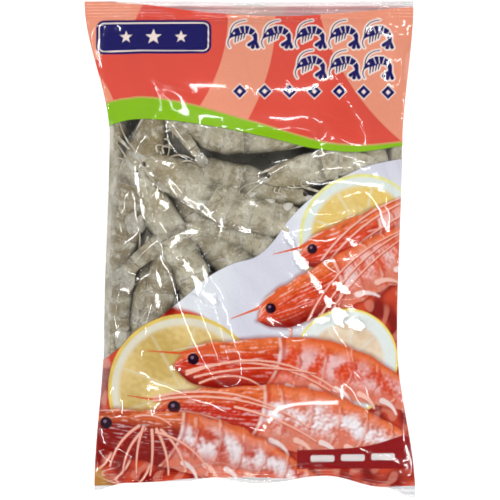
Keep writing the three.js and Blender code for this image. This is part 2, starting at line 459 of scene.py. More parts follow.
TAIL_BLADES = ((0, 14, 4.5), (-13, 17, 6.5), (13, 17, 6.5), (-27, 16, 6.5), (27, 16, 6.5))
legs, leaves, leaf_tones, eyes = [], [], [], []
eye_mesh, eye_share, eye_turn = ball(12, 8)
eye_round = np.sin(np.pi * eye_share)
eye_ball = np.stack(
    [np.cos(np.pi * eye_share), eye_round * np.cos(eye_turn), eye_round * np.sin(eye_turn)], 1
)
SPIKE = [(22, 9.0, 0), (8, 6.4, 0), (-3, 5.4, 0), (-13, 6.4, 0)]
EYE_RADIUS = 1.5
for shrimp in shrimps:
    # the spike with its slight upward sweep, then on each side the eye, a feeler and its scale
    legs.append(shrimp.lay_down(limb(SPIKE, 3.4, 0.5)))
    for side in (-1, 1):
        eyes.append(shrimp.lay_down(eye_ball * EYE_RADIUS + [4.4, 2.2, side * 2.2]))
        stalk = [(7, 1, side * 1.2), (5, 1.8, side * 2), (4.4, 2.4, side * 2.6)]
        legs.append(shrimp.lay_down(limb(stalk, 2.4, 2.4)))
        wave = draw.uniform(-6, 6)
        feeler = [
            (4, 0, side * 2),
            (-7, -1 + wave * 0.4, side * 2),
            (-15, -4 + wave, side * 2),
            (-20, -9 + wave, side),
        ]
        legs.append(shrimp.lay_down(limb(feeler, 1.5, 0.4)))
        scale = leaf((6, 0.3, side * 2.4), (-1, 0.02, side * 0.05), (0, 1, 0), 12, 4, 0.8)
        leaves.append(shrimp.lay_down(scale))
        leaf_tones.append(0.5)
        # five walking legs, folded back along the belly
        for number in range(5):
            slack, swing = draw.uniform(-5, 5), draw.uniform(-1, 3)
            root = (14 + number * 5.4, -7.2, side * 2.4)
            knee = (root[0] + 1 + slack * 0.5, -10 - swing * 0.4, side * (3.2 + draw.uniform(-1, 1)))
            ankle = (root[0] + 8 + slack, -11 - swing * 0.8, side * (2.6 + draw.uniform(-1.5, 1)))
            foot_down = -9.5 - swing * draw.uniform(0, 1.5)
            foot = (root[0] + 16 + slack * 1.5, foot_down, side * draw.uniform(0, 2.5))
            legs.append(shrimp.lay_down(limb([root, knee, ankle, foot], 1.5, 0.5)))
        for number in range(2):
            root = (8 + number * 3, -5.5 - number, side * 1.8)
            tip = (root[0] + 3 + draw.uniform(-3, 3), -13 + draw.uniform(-1, 2), side * 2)
            middle = (root[0] - 4, -9.5 - number, side * 2.2)
            legs.append(shrimp.lay_down(limb([root, middle, tip], 1.7, 0.6)))
        # five swimming legs that lie back over one another
        for number in range(5):
            middle = MODEL_LENGTH * (SHELL_ENDS[number + 1] + SHELL_ENDS[number + 2]) / 2
            depth = float(body_half_depth(middle / MODEL_LENGTH))
            way = (draw.uniform(1.8, 3.4), -1, side * draw.uniform(0, 0.4))
            root = (middle - 3, -depth * 0.82, side * 1.8)
            swimmer = leaf(root, way, (1, 0.6, 0.5), 9 - number * 0.8, 5.5 - number * 0.4, 1.6)
            leaves.append(shrimp.lay_down(swimmer))
            leaf_tones.append(draw.uniform(0.5, 0.9))
    fold = draw.uniform(0.2, 1.0)
    fan = np.array([0, math.cos(fold), math.sin(fold)])
    close = draw.uniform(0.2, 0.8)
    for angle, length, width in TAIL_BLADES:
        swing = math.radians(angle) * close
        root = np.array([MODEL_LENGTH * 0.95, 0, 0]) + fan * math.sin(swing) * 4
        way = np.array([math.cos(swing), 0, 0]) + fan * math.sin(swing)
        leaves.append(shrimp.lay_down(leaf(root, way, fan, length, width, 1.0, 1.4 if angle else 0.75)))
        leaf_tones.append(0.35 if angle else 0.5)

shrimp_legs = joined("shrimp_legs", limb_mesh, legs, {"along": np.tile(limb_share, len(legs))})
blade_notes = {"along": np.tile(leaf_share, len(leaves)), "pale": np.repeat(leaf_tones, len(leaf_share))}
shrimp_blades = joined("shrimp_blades", leaf_mesh, leaves, blade_notes)
shrimp_eyes = joined("shrimp_eyes", eye_mesh, eyes, {"along": np.tile(eye_share, len(eyes))})


def srgb(red, green, blue):
    """The light that a colour reflects, from how it looks on a screen."""
    shown = np.array([red, green, blue]) / 255
    return np.where(shown <= 0.04045, shown / 12.92, ((shown + 0.055) / 1.055) ** 2.4)


class Finish:
    """A material's nodes, made and joined in few words."""

    def __init__(self, name):
        self.material = bpy.data.materials.new(name)
        self.material.use_nodes = True
        self.tree = self.material.node_tree
        self.tree.nodes.clear()
        self.output = self.tree.nodes.new("ShaderNodeOutputMaterial")

    def node(self, kind, inputs=None, **settings):
        made = self.tree.nodes.new("ShaderNode" + kind)
        for setting, value in settings.items():
            setattr(made, setting, value)
        for socket, value in (inputs or {}).items():
            if isinstance(value, bpy.types.NodeSocket):
                self.tree.links.new(value, made.inputs[socket])
            else:
                made.inputs[socket].default_value = value
        return made

    def colour(self, *rgb):
        return (*srgb(*rgb), 1.0)

    def noted(self, name):
        return self.node("Attribute", attribute_name=name).outputs["Fac"]

    def noise(self, scale, detail=3.0, rough=0.55, warp=0.0):
        place = self.node("TexCoord").outputs["Object"]
        inputs = {"Vector": place, "Scale": scale, "Detail": detail, "Roughness": rough, "Distortion": warp}
        return self.node("TexNoise", inputs).outputs["Fac"]

    def ramp(self, value, low, high):
        """0 below low, 1 above high."""
        inputs = {"Value": value, "From Min": low, "From Max": high}
        return self.node("MapRange", inputs, interpolation_type="SMOOTHSTEP").outputs["Result"]

    def blend(self, share, one, other, strength=1.0):
        if strength != 1:
            share = self.sum("MULTIPLY", share, strength)
        made = self.node("Mix", {0: share}, data_type="RGBA")
        for socket, value in ((6, one), (7, other)):
            if isinstance(value, bpy.types.NodeSocket):
                self.tree.links.new(value, made.inputs[socket])
            else:
                made.inputs[socket].default_value = value
        return made.outputs[2]

    def sum(self, operation, one, other):
        return self.node("Math", {0: one, 1: other}, operation=operation).outputs[0]

    def bumped(self, height, distance, strength=1.0):
        inputs = {"Height": height, "Distance": distance, "Strength": strength}
        return self.node("Bump", inputs).outputs["Normal"]

    def surface(self, kind, inputs):
        """The material, finished with a shader of this kind."""
        self.tree.links.new(self.node(kind, inputs).outputs[0], self.output.inputs["Surface"])
        return self.material

    def lay_on(self, piece, kind, inputs):
        piece.data.materials.append(self.surface(kind, inputs))


def painted_depth_shade_group():
    """Painted shade: colours darken towards a dark colour with the depth under the film, in millimetres,
    standing for the shade in the hollows between the shrimp.
    """
    tree = bpy.data.node_groups.new("painted_depth_shade", "ShaderNodeTree")
    for name in ("Base", "Dark"):
        tree.interface.new_socket(name, in_out="INPUT", socket_type="NodeSocketColor")
    for name in ("Shallow", "Deep", "Strength"):
        tree.interface.new_socket(name, in_out="INPUT", socket_type="NodeSocketFloat")
    tree.interface.new_socket("Colour", in_out="OUTPUT", socket_type="NodeSocketColor")
    given, result = tree.nodes.new("NodeGroupInput"), tree.nodes.new("NodeGroupOutput")
    depth = tree.nodes.new("ShaderNodeAttribute")
    depth.attribute_name = "deep"
    ramp = tree.nodes.new("ShaderNodeMapRange")
    ramp.interpolation_type = "SMOOTHSTEP"
    blend = tree.nodes.new("ShaderNodeMix")
    blend.data_type = "RGBA"
    for source, target in (
        (depth.outputs["Fac"], ramp.inputs["Value"]),
        (given.outputs["Shallow"], ramp.inputs["From Min"]),
        (given.outputs["Deep"], ramp.inputs["From Max"]),
        (given.outputs["Strength"], ramp.inputs["To Max"]),
        (ramp.outputs["Result"], blend.inputs[0]),
        (given.outputs["Base"], blend.inputs[6]),
        (given.outputs["Dark"], blend.inputs[7]),
        (blend.outputs[2], result.inputs["Colour"]),
    ):
        tree.links.new(source, target)
    return tree


painted_depth_shade = painted_depth_shade_group()


# painted shade: blends a colour towards a dark one with each point's depth under the film
def painted_shade_by_depth(finish, base, shallow, deep, dark, strength):
    inputs = {"Base": base, "Dark": dark, "Shallow": shallow, "Deep": deep, "Strength": strength}
    return finish.node("Group", inputs, node_tree=painted_depth_shade).outputs["Colour"]


# shell: grey, browner on some, darker along the back, each ring with a pale hind edge before a dark step,
# blotched, frosted where ice has grown on it, and darkened with its depth under the film as painted shade
finish = Finish("raw_shrimp_shell")
belly = finish.noted("towards_belly")
along = finish.noted("along")
ring_share = finish.noted("along_shell")
blotch = finish.ramp(finish.noise(130, 8, 0.72, 0.3), 0.44, 0.6)
tint = finish.sum("ADD", finish.noted("brown"), finish.sum("MULTIPLY", finish.noise(40, 2, 0.5), 0.7))
tint = finish.ramp(tint, 0.2, 1.45)
base = finish.blend(tint, finish.colour(190, 182, 158), finish.colour(130, 115, 84))
base = finish.blend(blotch, base, finish.colour(124, 112, 86), 0.8)
head = finish.sum("SUBTRACT", 1.0, finish.ramp(along, 0.2, 0.38))
olive = finish.sum("MULTIPLY", head, finish.ramp(finish.noise(70, 6, 0.68, 0.3), 0.42, 0.6))
base = finish.blend(olive, base, finish.colour(146, 130, 90), 0.7)
back_line = finish.sum("SUBTRACT", 1.0, finish.ramp(belly, 0.04, 0.26))
base = finish.blend(back_line, base, finish.colour(132, 122, 100), 0.45)
ring_place = finish.sum("ADD", ring_share, finish.sum("MULTIPLY", finish.noise(220, 3), 0.24))
pale_band = finish.ramp(ring_place, 0.6, 0.9)
base = finish.blend(pale_band, base, finish.colour(204, 201, 186), 0.35)
hind = finish.ramp(ring_place, 0.96, 1.1)
base = finish.blend(hind, base, finish.colour(92, 82, 62), 0.75)
specks = finish.ramp(finish.noise(1300, 2, 0.6), 0.6, 0.72)
base = finish.blend(specks, base, finish.colour(98, 86, 66), 0.55)
grit = finish.ramp(finish.noise(560, 8, 0.8), 0.46, 0.62)
base = finish.blend(grit, base, finish.colour(206, 204, 192), 0.25)
frost = finish.ramp(finish.noise(150, 9, 0.8, 0.25), 0.5, 0.64)
base = finish.blend(frost, base, finish.colour(230, 228, 216), 0.6)
# painted shade: the shell darkens towards dark olive the deeper it lies under the film
base = painted_shade_by_depth(finish, base, 0.3, 5.8, finish.colour(66, 61, 49), 0.92)
fine = finish.sum("MULTIPLY", finish.noise(1000, 3, 0.6), 0.4)
relief = finish.sum("ADD", finish.noise(280, 7, 0.72, 0.2), fine)
finish.lay_on(
    shrimp_bodies,
    "BsdfPrincipled",
    {
        "Base Color": base,
        "Roughness": finish.sum("ADD", 0.34, finish.sum("MULTIPLY", frost, 0.35)),
        "Normal": finish.bumped(relief, 0.0013, 1.0),
        "Subsurface Weight": 0.15,
        "Subsurface Radius": (0.004, 0.003, 0.002),
        "Subsurface Scale": 1.0,
        "Specular IOR Level": 0.4,
    },
)

finish = Finish("raw_shrimp_legs")
along = finish.noted("along")
patches = finish.ramp(finish.noise(160, 3), 0.35, 0.65)
base = finish.blend(patches, finish.colour(206, 202, 188), finish.colour(160, 146, 122))
base = finish.blend(finish.ramp(along, 0.5, 1.0), base, finish.colour(180, 164, 142))
# painted shade: the legs darken the deeper they lie under the film
base = painted_shade_by_depth(finish, base, 2.0, 9.0, finish.colour(86, 80, 68), 0.82)
finish.lay_on(
    shrimp_legs,
    "BsdfPrincipled",
    {
        "Base Color": base,
        "Roughness": 0.4,
        "Normal": finish.bumped(finish.noise(900, 3), 0.0004, 0.6),
        "Subsurface Weight": 0.2,
        "Subsurface Radius": (0.003, 0.002, 0.002),
    },
)

finish = Finish("raw_shrimp_blades")
base = finish.blend(finish.noted("pale"), finish.colour(140, 130, 108), finish.colour(206, 204, 194))
base = finish.blend(finish.ramp(finish.noted("along"), 0.6, 1.0), base, finish.colour(138, 118, 96), 0.4)
base = finish.blend(finish.ramp(finish.noise(420, 4), 0.45, 0.7), base, finish.colour(210, 208, 200), 0.5)
# painted shade: the blades darken the deeper they lie under the film
base = painted_shade_by_depth(finish, base, 2.0, 9.0, finish.colour(86, 80, 68), 0.82)
finish.lay_on(
    shrimp_blades,
    "BsdfPrincipled",
    {
        "Base Color": base,
        "Roughness": 0.36,
        "Normal": finish.bumped(finish.noise(700, 4, 0.6, 1.0), 0.0005, 0.7),
        "Subsurface Weight": 0.2,
        "Subsurface Radius": (0.003, 0.002, 0.002),
    },
)

finish = Finish("raw_shrimp_eyes")
spots = finish.ramp(finish.noise(900, 3), 0.4, 0.7)
base = finish.blend(spots, finish.colour(40, 34, 34), finish.colour(78, 68, 60))
finish.lay_on(shrimp_eyes, "BsdfPrincipled", {"Base Color": base, "Roughness": 0.2})

for piece in (shrimp_bodies, shrimp_legs, shrimp_blades, shrimp_eyes):
    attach(piece, "root")

# ---- The ice between the shrimp ----
# The shrimp are frozen into one block: cloudy ice fills the hollows between the bodies and reaches
# out to the sides of the bag, and grains of frost have grown on all of it.
GRID_PITCH = 1.0
grid_line_x = np.arange(-92, 92 + GRID_PITCH, GRID_PITCH)
grid_line_y = np.arange(-138, 138 + GRID_PITCH, GRID_PITCH)
grid_x, grid_y = np.meshgrid(grid_line_x, grid_line_y)
plain, under, free = bag_heights(grid_x, grid_y)
vertices = [vertex.co.copy() for vertex in shrimp_bodies.data.vertices]
faces = [tuple(polygon.vertices) for polygon in shrimp_bodies.data.polygons]
body_tree = BVHTree.FromPolygons(vertices, faces)
HIGH = 80


def first_hits(from_below):
    """The highest (or, from below, the lowest) body at each place of the grid, and where there is one."""
    height = (plain + under) / 2
    found = np.zeros(height.shape, bool)
    start, way = (-HIGH * MM, (0, 0, 1)) if from_below else (HIGH * MM, (0, 0, -1))
    for i in range(grid_x.shape[0]):
        for j in range(grid_x.shape[1]):
            hit = body_tree.ray_cast((grid_x[i, j] * MM, grid_y[i, j] * MM, start), way)[0]
            if hit is not None:
                height[i, j] = hit.z / MM
                found[i, j] = True
    return height, found


def softened(grid, rounds):
    for _ in range(rounds):
        padded = np.pad(grid, 1, mode="edge")
        grid = (grid + padded[:-2, 1:-1] + padded[2:, 1:-1] + padded[1:-1, :-2] + padded[1:-1, 2:]) / 5
    return grid


def sample(grid, x, y):
    """A value from a grid over the bag at places seen from above."""
    column = np.clip((x - grid_line_x[0]) / GRID_PITCH, 0, len(grid_line_x) - 1.001)
    row = np.clip((y - grid_line_y[0]) / GRID_PITCH, 0, len(grid_line_y) - 1.001)
    j, i = column.astype(int), row.astype(int)
    s, t = column - j, row - i
    low = mix(grid[i, j], grid[i, j + 1], s)
    high = mix(grid[i + 1, j], grid[i + 1, j + 1], s)
    return mix(low, high, t)


heap, heap_found = first_hits(False)
heap_below = first_hits(True)[0]
ICE_DEPTH = 5.5
ICE_ACROSS = 0.994
ICE_ALONG = (0.036, 0.955)
ICE_COLUMNS, ICE_ROWS = 120, 190
ICE_SMOOTHING = 60
ICE_GAP = 0.5
ICE_SIDE_GAP = 0.6
ICE_SIDE_FROM, ICE_SIDE_WIDE = 0.86, 0.12
LUMP_HEIGHT = 0.45
ice_top = softened(heap, ICE_SMOOTHING)
ice_low = softened(heap_below, ICE_SMOOTHING)
bm = bmesh.new()
bmesh.ops.create_grid(bm, x_segments=ICE_COLUMNS, y_segments=ICE_ROWS, size=1)
upper = list(bm.verts)
made = bmesh.ops.extrude_face_region(bm, geom=list(bm.faces))["geom"]
lower = {vertex for vertex in made if isinstance(vertex, bmesh.types.BMVert)}
flat = np.array([vertex.co for vertex in bm.verts])
is_low = np.array([vertex in lower for vertex in bm.verts])
across = np.sin(flat[:, 0] * np.pi / 2) * 0.4 + flat[:, 0] * 0.6
x, y, front, back, _ = bag_form(across * ICE_ACROSS, mix(*ICE_ALONG, (flat[:, 1] + 1) / 2))
lumps = np.sin(x / 3.3 + np.sin(y / 4.1) * 2) + np.sin(y / 2.9 + np.sin(x / 3.7) * 2)
lumps += np.sin((x + y) / 1.9) * 0.6
side = smooth((np.abs(across) - ICE_SIDE_FROM) / ICE_SIDE_WIDE)
depth = mix(ICE_DEPTH, 0.0, side) + LUMP_HEIGHT * lumps
top = np.minimum(sample(ice_top, x, y) - depth, front - ICE_GAP)
top = mix(top, front - ICE_SIDE_GAP, side)
low = np.maximum(sample(ice_low, x, y) + depth, back + ICE_GAP)
low = mix(low, back + ICE_SIDE_GAP, side)
middle = (top + low) / 2
thick = np.maximum((top - low) / 2, 0.1)
for vertex, place in zip(bm.verts, np.stack([x, y, middle + np.where(is_low, -thick, thick)], 1)):
    vertex.co = place * MM
for face in bm.faces:
    face.smooth = True
bmesh.ops.recalc_face_normals(bm, faces=bm.faces)
mesh = bpy.data.meshes.new("ice")
bm.to_mesh(mesh)
bm.free()
note(mesh, "at_side", side)
ice = placed("ice", mesh)
finish = Finish("cloudy_ice")
clouds = finish.ramp(finish.noise(130, 8, 0.75, 0.3), 0.35, 0.68)
base = finish.blend(clouds, finish.colour(112, 110, 101), finish.colour(168, 165, 152))
blotch = finish.ramp(finish.noise(90, 8, 0.75, 0.3), 0.38, 0.64)
flesh = finish.blend(blotch, finish.colour(190, 185, 166), finish.colour(140, 129, 104))
base = finish.blend(finish.noted("at_side"), base, flesh)
specks = finish.ramp(finish.noise(1100, 3, 0.7), 0.6, 0.7)
base = finish.blend(specks, base, finish.colour(196, 195, 188), 0.55)
# painted shade: the ice darkens the deeper it lies under the film, in the hollows between the bodies
base = painted_shade_by_depth(finish, base, 0.8, 7.5, finish.colour(122, 119, 108), 0.9)
relief = finish.noise(420, 6, 0.7, 0.8)
lumpy = finish.bumped(relief, 0.0014, 0.8)
finish.lay_on(ice, "BsdfPrincipled", {"Base Color": base, "Roughness": 0.35, "Normal": lumpy})

GRAINS = 1500
GRAIN_SIZES = (0.2, 0.6)
GRAINS_ACROSS = (-80, 80)
GRAINS_ALONG = (-118, 120)
bm = bmesh.new()
bmesh.ops.create_icosphere(bm, subdivisions=1, radius=1)
grain_shape = np.array([vertex.co for vertex in bm.verts])
grain_mesh = bpy.data.meshes.new("grain")
bm.to_mesh(grain_mesh)
bm.free()
grains = []
while len(grains) < GRAINS:
    x, y = draw.uniform(*GRAINS_ACROSS), draw.uniform(*GRAINS_ALONG)
    i, j = int(round(y - grid_line_y[0])), int(round(x - grid_line_x[0]))
    hollow = ice_top[i, j] - heap[i, j]
    if free[i, j] > 0.3 and draw.uniform() < 0.15 + 0.3 * hollow:
        size = mix(*GRAIN_SIZES, draw.uniform() ** 2)
        z = max(heap[i, j], ice_top[i, j] - ICE_DEPTH) + size * 0.2
        grains.append(grain_shape * size * draw.uniform(0.6, 1.2, (len(grain_shape), 3)) + [x, y, z])
frost_grains = joined("frost_grains", grain_mesh, grains, {})
finish = Finish("frost")
base = finish.blend(finish.noise(600, 3), finish.colour(236, 237, 234), finish.colour(196, 195, 188))
sparkle = {"Base Color": base, "Roughness": 0.25, "Specular IOR Level": 0.6}
finish.lay_on(frost_grains, "BsdfPrincipled", sparkle)
for piece in (ice, frost_grains):
    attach(piece, "root")

# ---- The film ----
# One tube of clear film, about 70 microns thick. It hangs over the shrimp like a tight sheet, creases
# where it has been handled, and gathers into pleats towards the welded seals.
DRAPE_ROUNDS = 60
PRESSED = 0.35
SAG = 3.0
FILM_GAP = 0.45
least = np.where(heap_found & (free > 0.3), heap + FILM_GAP, -1)
drape = np.maximum(plain - SAG * free, least)
for _ in range(DRAPE_ROUNDS):
    padded = np.pad(drape, 1, mode="edge")
    near = (padded[:-2, 1:-1] + padded[2:, 1:-1] + padded[1:-1, :-2] + padded[1:-1, 2:]) / 4
    drape = np.maximum(np.where(free > 0.02, near, plain), least)
drape = softened(mix(plain, drape, smooth(free * 3)), 3)
# every part is pressed under the draped film, and each point notes how deep it lies under it, which the
# materials turn into painted shade
for piece in (shrimp_bodies, shrimp_legs, shrimp_blades, shrimp_eyes, ice, frost_grains):
    places = points_of(piece.data)
    limit = sample(drape, places[:, 0], places[:, 1]) - FILM_CLEARANCE
    places[:, 2] = limit - PRESSED * np.logaddexp(0, (limit - places[:, 2]) / PRESSED)
    set_points(piece.data, places)
    note(piece.data, "deep", limit - places[:, 2])

# creases: from, to, width and steepness; the first ones make the star of creases at the right
CREASES = [
    (27, -2, 50, -40, 3.4, 0.36),
    (38, -27, 20, -10, 3.2, 0.34),
    (38, -27, 22, -31, 3.0, 0.34),
    (38, -27, 50, -12, 3.2, 0.34),
    (38, -27, 30, -46, 3.2, 0.34),
    (38, -27, 62, -26, 3.0, 0.34),
    (46, -37, 62, -50, 3.2, 0.34),
    (-62, 45, -56, 10, 2.6, 0.36),
    (-58, 44, -52, 12, 2.4, 0.36),
    (-52, -4, -48, -36, 2.6, 0.36),
    (-44, 1, -28, 14, 2.8, 0.36),
    (-34, 12, -24, -8, 3.0, 0.36),
    (-36, -8, -15, -26, 3.4, 0.28),
    (-51, 35, -45, 22, 2.4, 0.36),
    (-17, 20, -9, 4, 2.4, 0.36),
    (-4, 106, 3, 78, 2.8, 0.2),
    (14, 120, 20, 92, 2.8, 0.32),
    (-66, 96, -30, 84, 3.0, 0.2),
    (40, 72, 66, 62, 2.8, 0.2),
    (-82, -108, -50, -121, 3.6, 0.22),
    (-40, -114, 8, -122, 3.6, 0.22),
    (0, -112, 40, -119, 3.4, 0.24),
    (28, -116, 62, -123, 3.6, 0.22),
    (50, -106, 84, -118, 3.6, 0.24),
    (60, -118, 84, -127, 3.2, 0.22),
]
CRINKLES = 150
CRINKLE_LENGTHS = (4, 14)
CRINKLE_HEIGHTS = (0.03, 0.16)
CRINKLE_WIDTHS = (1.0, 2.4)
CREASE_POWER = 1.5
CRINKLE_POWER = 1.4


def crease_height(x, y):
    """How far creases and fine crinkles lift the film."""
    draw = np.random.default_rng(23)
    lines = [(*ends, steep * width, width, CREASE_POWER) for *ends, width, steep in CREASES]
    for _ in range(CRINKLES):
        cx, cy = draw.uniform(-76, 76), draw.triangular(-124, -10, 124)
        turn, size = draw.uniform(0, np.pi), draw.uniform(*CRINKLE_LENGTHS)
        dx, dy = math.cos(turn) * size / 2, math.sin(turn) * size / 2
        height, width = draw.uniform(*CRINKLE_HEIGHTS), draw.uniform(*CRINKLE_WIDTHS)
        lines.append((cx - dx, cy - dy, cx + dx, cy + dy, height, width, CRINKLE_POWER))
    lift = np.zeros(np.shape(x))
    for x0, y0, x1, y1, height, width, power in lines:
        long = math.hypot(x1 - x0, y1 - y0)
        near = np.abs(x - (x0 + x1) / 2) + np.abs(y - (y0 + y1) / 2) < long + 2 * width
        px, py = x[near] - x0, y[near] - y0
        t = np.clip((px * (x1 - x0) + py * (y1 - y0)) / long**2, 0, 1)
        away = np.hypot(px - t * (x1 - x0), py - t * (y1 - y0))
        runs_out = np.sin(np.pi * np.clip(t, 0.03, 0.97)) ** 0.4
        lift[near] += height * np.maximum(1 - away / width, 0) ** power * runs_out
    return lift


# flats: small even faces between the creases that face the studio's ring of lights, so that each
# shines as a whole when seen from above: middle, length, width and turn
RING_LIGHTS = 12
RING_TILT = 40
RING_DISTANCE = 1300
SEEN_FROM = (0, 0, 1527)
FLATS = [
    (20.5, 7, 15, 3.6, -60),
    (27.5, -6, 15, 6.4, -52),
    (35.5, -18, 17, 4.8, -57),
    (42.5, -28, 10, 5.6, -57),
    (49.5, -20.5, 12, 5.6, -35),
    (48.5, -36, 13, 9.0, -57),
    (56.5, -40, 12, 7.0, -20),
    (38.5, -37.5, 10, 4.4, 5),
    (-40, 5, 11, 3.8, 52),
    (-32, 9.5, 10, 4.0, 5),
    (-33.5, -9, 11, 4.6, -62),
    (-29.5, -18.5, 13, 8.0, -65),
    (-22, -26, 11, 5.6, -32),
    (-24, -13, 9, 3.4, -80),
    (-61, 38, 16, 3.4, -80),
    (-58, 22, 14, 3.4, -80),
    (-50, 30, 9, 3.2, 88),
    (-46, 24.5, 8, 4.2, -45),
    (-15.5, 13.5, 10, 3.4, 85),
    (-49, -16, 12, 3.2, -72),
    (-50, -27, 11, 3.2, -85),
]
FLAT_RIM = 0.9
FLAT_RISE = 0.16
RAGGED = 0.35


def fold_flat(height, at_x, at_y, long, wide, turn):
    """Folds one flat into the film: a long leaf shape that slopes down towards the nearest light."""
    u = (form_x - at_x) * math.cos(turn) + (form_y - at_y) * math.sin(turn)
    v = (form_y - at_y) * math.cos(turn) - (form_x - at_x) * math.sin(turn)
    half_leaf = wide / 2 * (1 - 0.8 * (2 * u / long) ** 2) + RAGGED * np.sin(1.9 * u + at_x)
    inside = np.minimum(long / 2 - np.abs(u), half_leaf - np.abs(v))
    share = smooth(inside / FLAT_RIM + 0.8) * is_front[None, :]
    middle = np.array([at_x, at_y, height[share > 0.9].mean()])
    sector = 2 * np.pi / RING_LIGHTS
    azimuth = (math.floor((turn + np.pi / 2) / sector) + 0.5) * sector
    tilt = math.radians(RING_TILT)
    out = math.sin(tilt)
    light = np.array([out * math.cos(azimuth), out * math.sin(azimuth), math.cos(tilt)])
    to_light, to_eye = light * RING_DISTANCE - middle, np.array(SEEN_FROM) - middle
    facing = to_light / np.linalg.norm(to_light) + to_eye / np.linalg.norm(to_eye)
    fall = (facing[0] * (form_x - at_x) + facing[1] * (form_y - at_y)) / facing[2]
    flat = middle[2] + FLAT_RISE * wide - fall
    return mix(height, flat, share), share


FRONT_COLUMNS = 240
BACK_COLUMNS = 60
EVEN_SHARE = 0.6
rows = np.concatenate(
    [
        np.linspace(0, BOTTOM_SEAL_DEPTH, 16, endpoint=False),
        np.linspace(BOTTOM_SEAL_DEPTH, BAG_LENGTH - TOP_SEAL_DEPTH, 270, endpoint=False),
        np.linspace(BAG_LENGTH - TOP_SEAL_DEPTH, BAG_LENGTH, 25),
    ]
)
row_along = rows / BAG_LENGTH
ROWS = len(rows) - 1
round_tube = np.concatenate(
    [np.linspace(-1, 1, FRONT_COLUMNS, endpoint=False), np.linspace(1, -1, BACK_COLUMNS + 1)]
)
column_across = mix(np.sin(round_tube * np.pi / 2), round_tube, EVEN_SHARE)
is_front = np.arange(len(round_tube)) <= FRONT_COLUMNS
across_grid, along_grid = np.meshgrid(column_across, row_along)
form_x, form_y, form_front, form_back, form_free = bag_form(across_grid, along_grid)
RIB_PITCH = 1.7
RIB_HEIGHT = 0.14
PLEAT_REACH = 26
PLEAT_HEIGHT = 0.35
BACK_PLEATS = 0.6
UNDER_TOP = 0.1
from_top = BAG_LENGTH * (1 - along_grid)
from_bottom = BAG_LENGTH * along_grid
in_seal = smooth((TOP_SEAL_DEPTH - from_top) / 1.0) + smooth((BOTTOM_SEAL_DEPTH - from_bottom) / 1.0)
ribs = RIB_HEIGHT * in_seal * np.sin(2 * np.pi * np.minimum(from_top, from_bottom) / RIB_PITCH)
pleat_wave = np.sin(form_x / 3.1 + np.sin(form_x / 11) * 2) + 0.6 * np.sin(form_x / 1.7 + 1)
seal_distance = np.minimum(from_top - TOP_SEAL_DEPTH, from_bottom - BOTTOM_SEAL_DEPTH)
pleats = PLEAT_HEIGHT * pleat_wave * np.exp(-np.maximum(seal_distance, 0) / PLEAT_REACH * 3)
pleats *= 1 - in_seal
pleats *= smooth((1 - np.abs(across_grid)) * 8)
front_z = sample(drape, form_x, form_y)
front_z = mix(form_front, front_z, smooth(form_free * 6)) + ribs + pleats
front_z += crease_height(form_x, form_y) * smooth(form_free * 2)
in_flats = np.zeros(front_z.shape)
for at_x, at_y, long, wide, turn in FLATS:
    front_z, share = fold_flat(front_z, at_x, at_y, long, wide, math.radians(turn))
    in_flats = np.maximum(in_flats, share)
front_z = np.minimum(front_z, bag_high.z / MM - UNDER_TOP)
back_z = np.maximum(form_back + pleats * BACK_PLEATS * (form_back > 2), FLOOR_GAP)
film_z = np.where(is_front[None, :], front_z, np.minimum(back_z, front_z))
film_points = np.stack([form_x, form_y, film_z], 2)
film_points[:, -1] = film_points[:, 0]


def on_film(column, row):
    """Points of the film's surface at places between its rows and columns."""
    j = np.clip(np.floor(column).astype(int), 0, film_points.shape[1] - 2)
    i = np.clip(np.floor(row).astype(int), 0, film_points.shape[0] - 2)
    s, t = (column - j)[..., None], (row - i)[..., None]
    low = mix(film_points[i, j], film_points[i, j + 1], s)
    high = mix(film_points[i + 1, j], film_points[i + 1, j + 1], s)
    return mix(low, high, t)


def film_sheet(name, first_column, last_column, first_row, last_row, finer=(1, 1)):
    """A piece of the film's own surface as a grid, and where each of its points is on the film."""
    columns = (last_column - first_column) * finer[0]
    rows_here = (last_row - first_row) * finer[1]
    bm = bmesh.new()
    bmesh.ops.create_grid(bm, x_segments=columns, y_segments=rows_here, size=0.5)
    flat = np.array([vertex.co for vertex in bm.verts])
    mesh = bpy.data.meshes.new(name)
    bm.to_mesh(mesh)
    bm.free()
    column = np.round((flat[:, 0] + 0.5) * columns) / finer[0] + first_column
    row = np.round((flat[:, 1] + 0.5) * rows_here) / finer[1] + first_row
    return mesh, column, row


film_mesh, film_column, film_row = film_sheet("film", 0, FRONT_COLUMNS + BACK_COLUMNS, 0, ROWS)
places = on_film(film_column, film_row)
set_points(film_mesh, places)
on_flat = in_flats[film_row.astype(int), film_column.astype(int)] > 0.98
bm = bmesh.new()
bm.from_mesh(film_mesh)
for face in bm.faces:
    face.smooth = not all(on_flat[vertex.index] for vertex in face.verts)
seam_columns = (0, FRONT_COLUMNS + BACK_COLUMNS)
side_seam = [vertex for vertex, column in zip(bm.verts, film_column) if column in seam_columns]
bmesh.ops.remove_doubles(bm, verts=side_seam, dist=1e-7)
bmesh.ops.holes_fill(bm, edges=[edge for edge in bm.edges if edge.is_boundary], sides=0)
bmesh.ops.recalc_face_normals(bm, faces=bm.faces)
bm.to_mesh(film_mesh)
bm.free()
film = placed("film", film_mesh)
FLAT_GLOSS = 0.008
MOST_GLOSS = 0.2
finish = Finish("clear_film")
crinkle = finish.bumped(finish.noise(420, 3, 0.6, 0.6), 0.00002, 0.4)
gloss = finish.node("BsdfGlossy", {"Color": (1, 1, 1, 1), "Roughness": 0.08, "Normal": crinkle})
clear = finish.node("BsdfTransparent", {"Color": (0.975, 0.975, 0.97, 1)})
edge_on = finish.node("Fresnel", {"IOR": 1.5, "Normal": crinkle}).outputs[0]
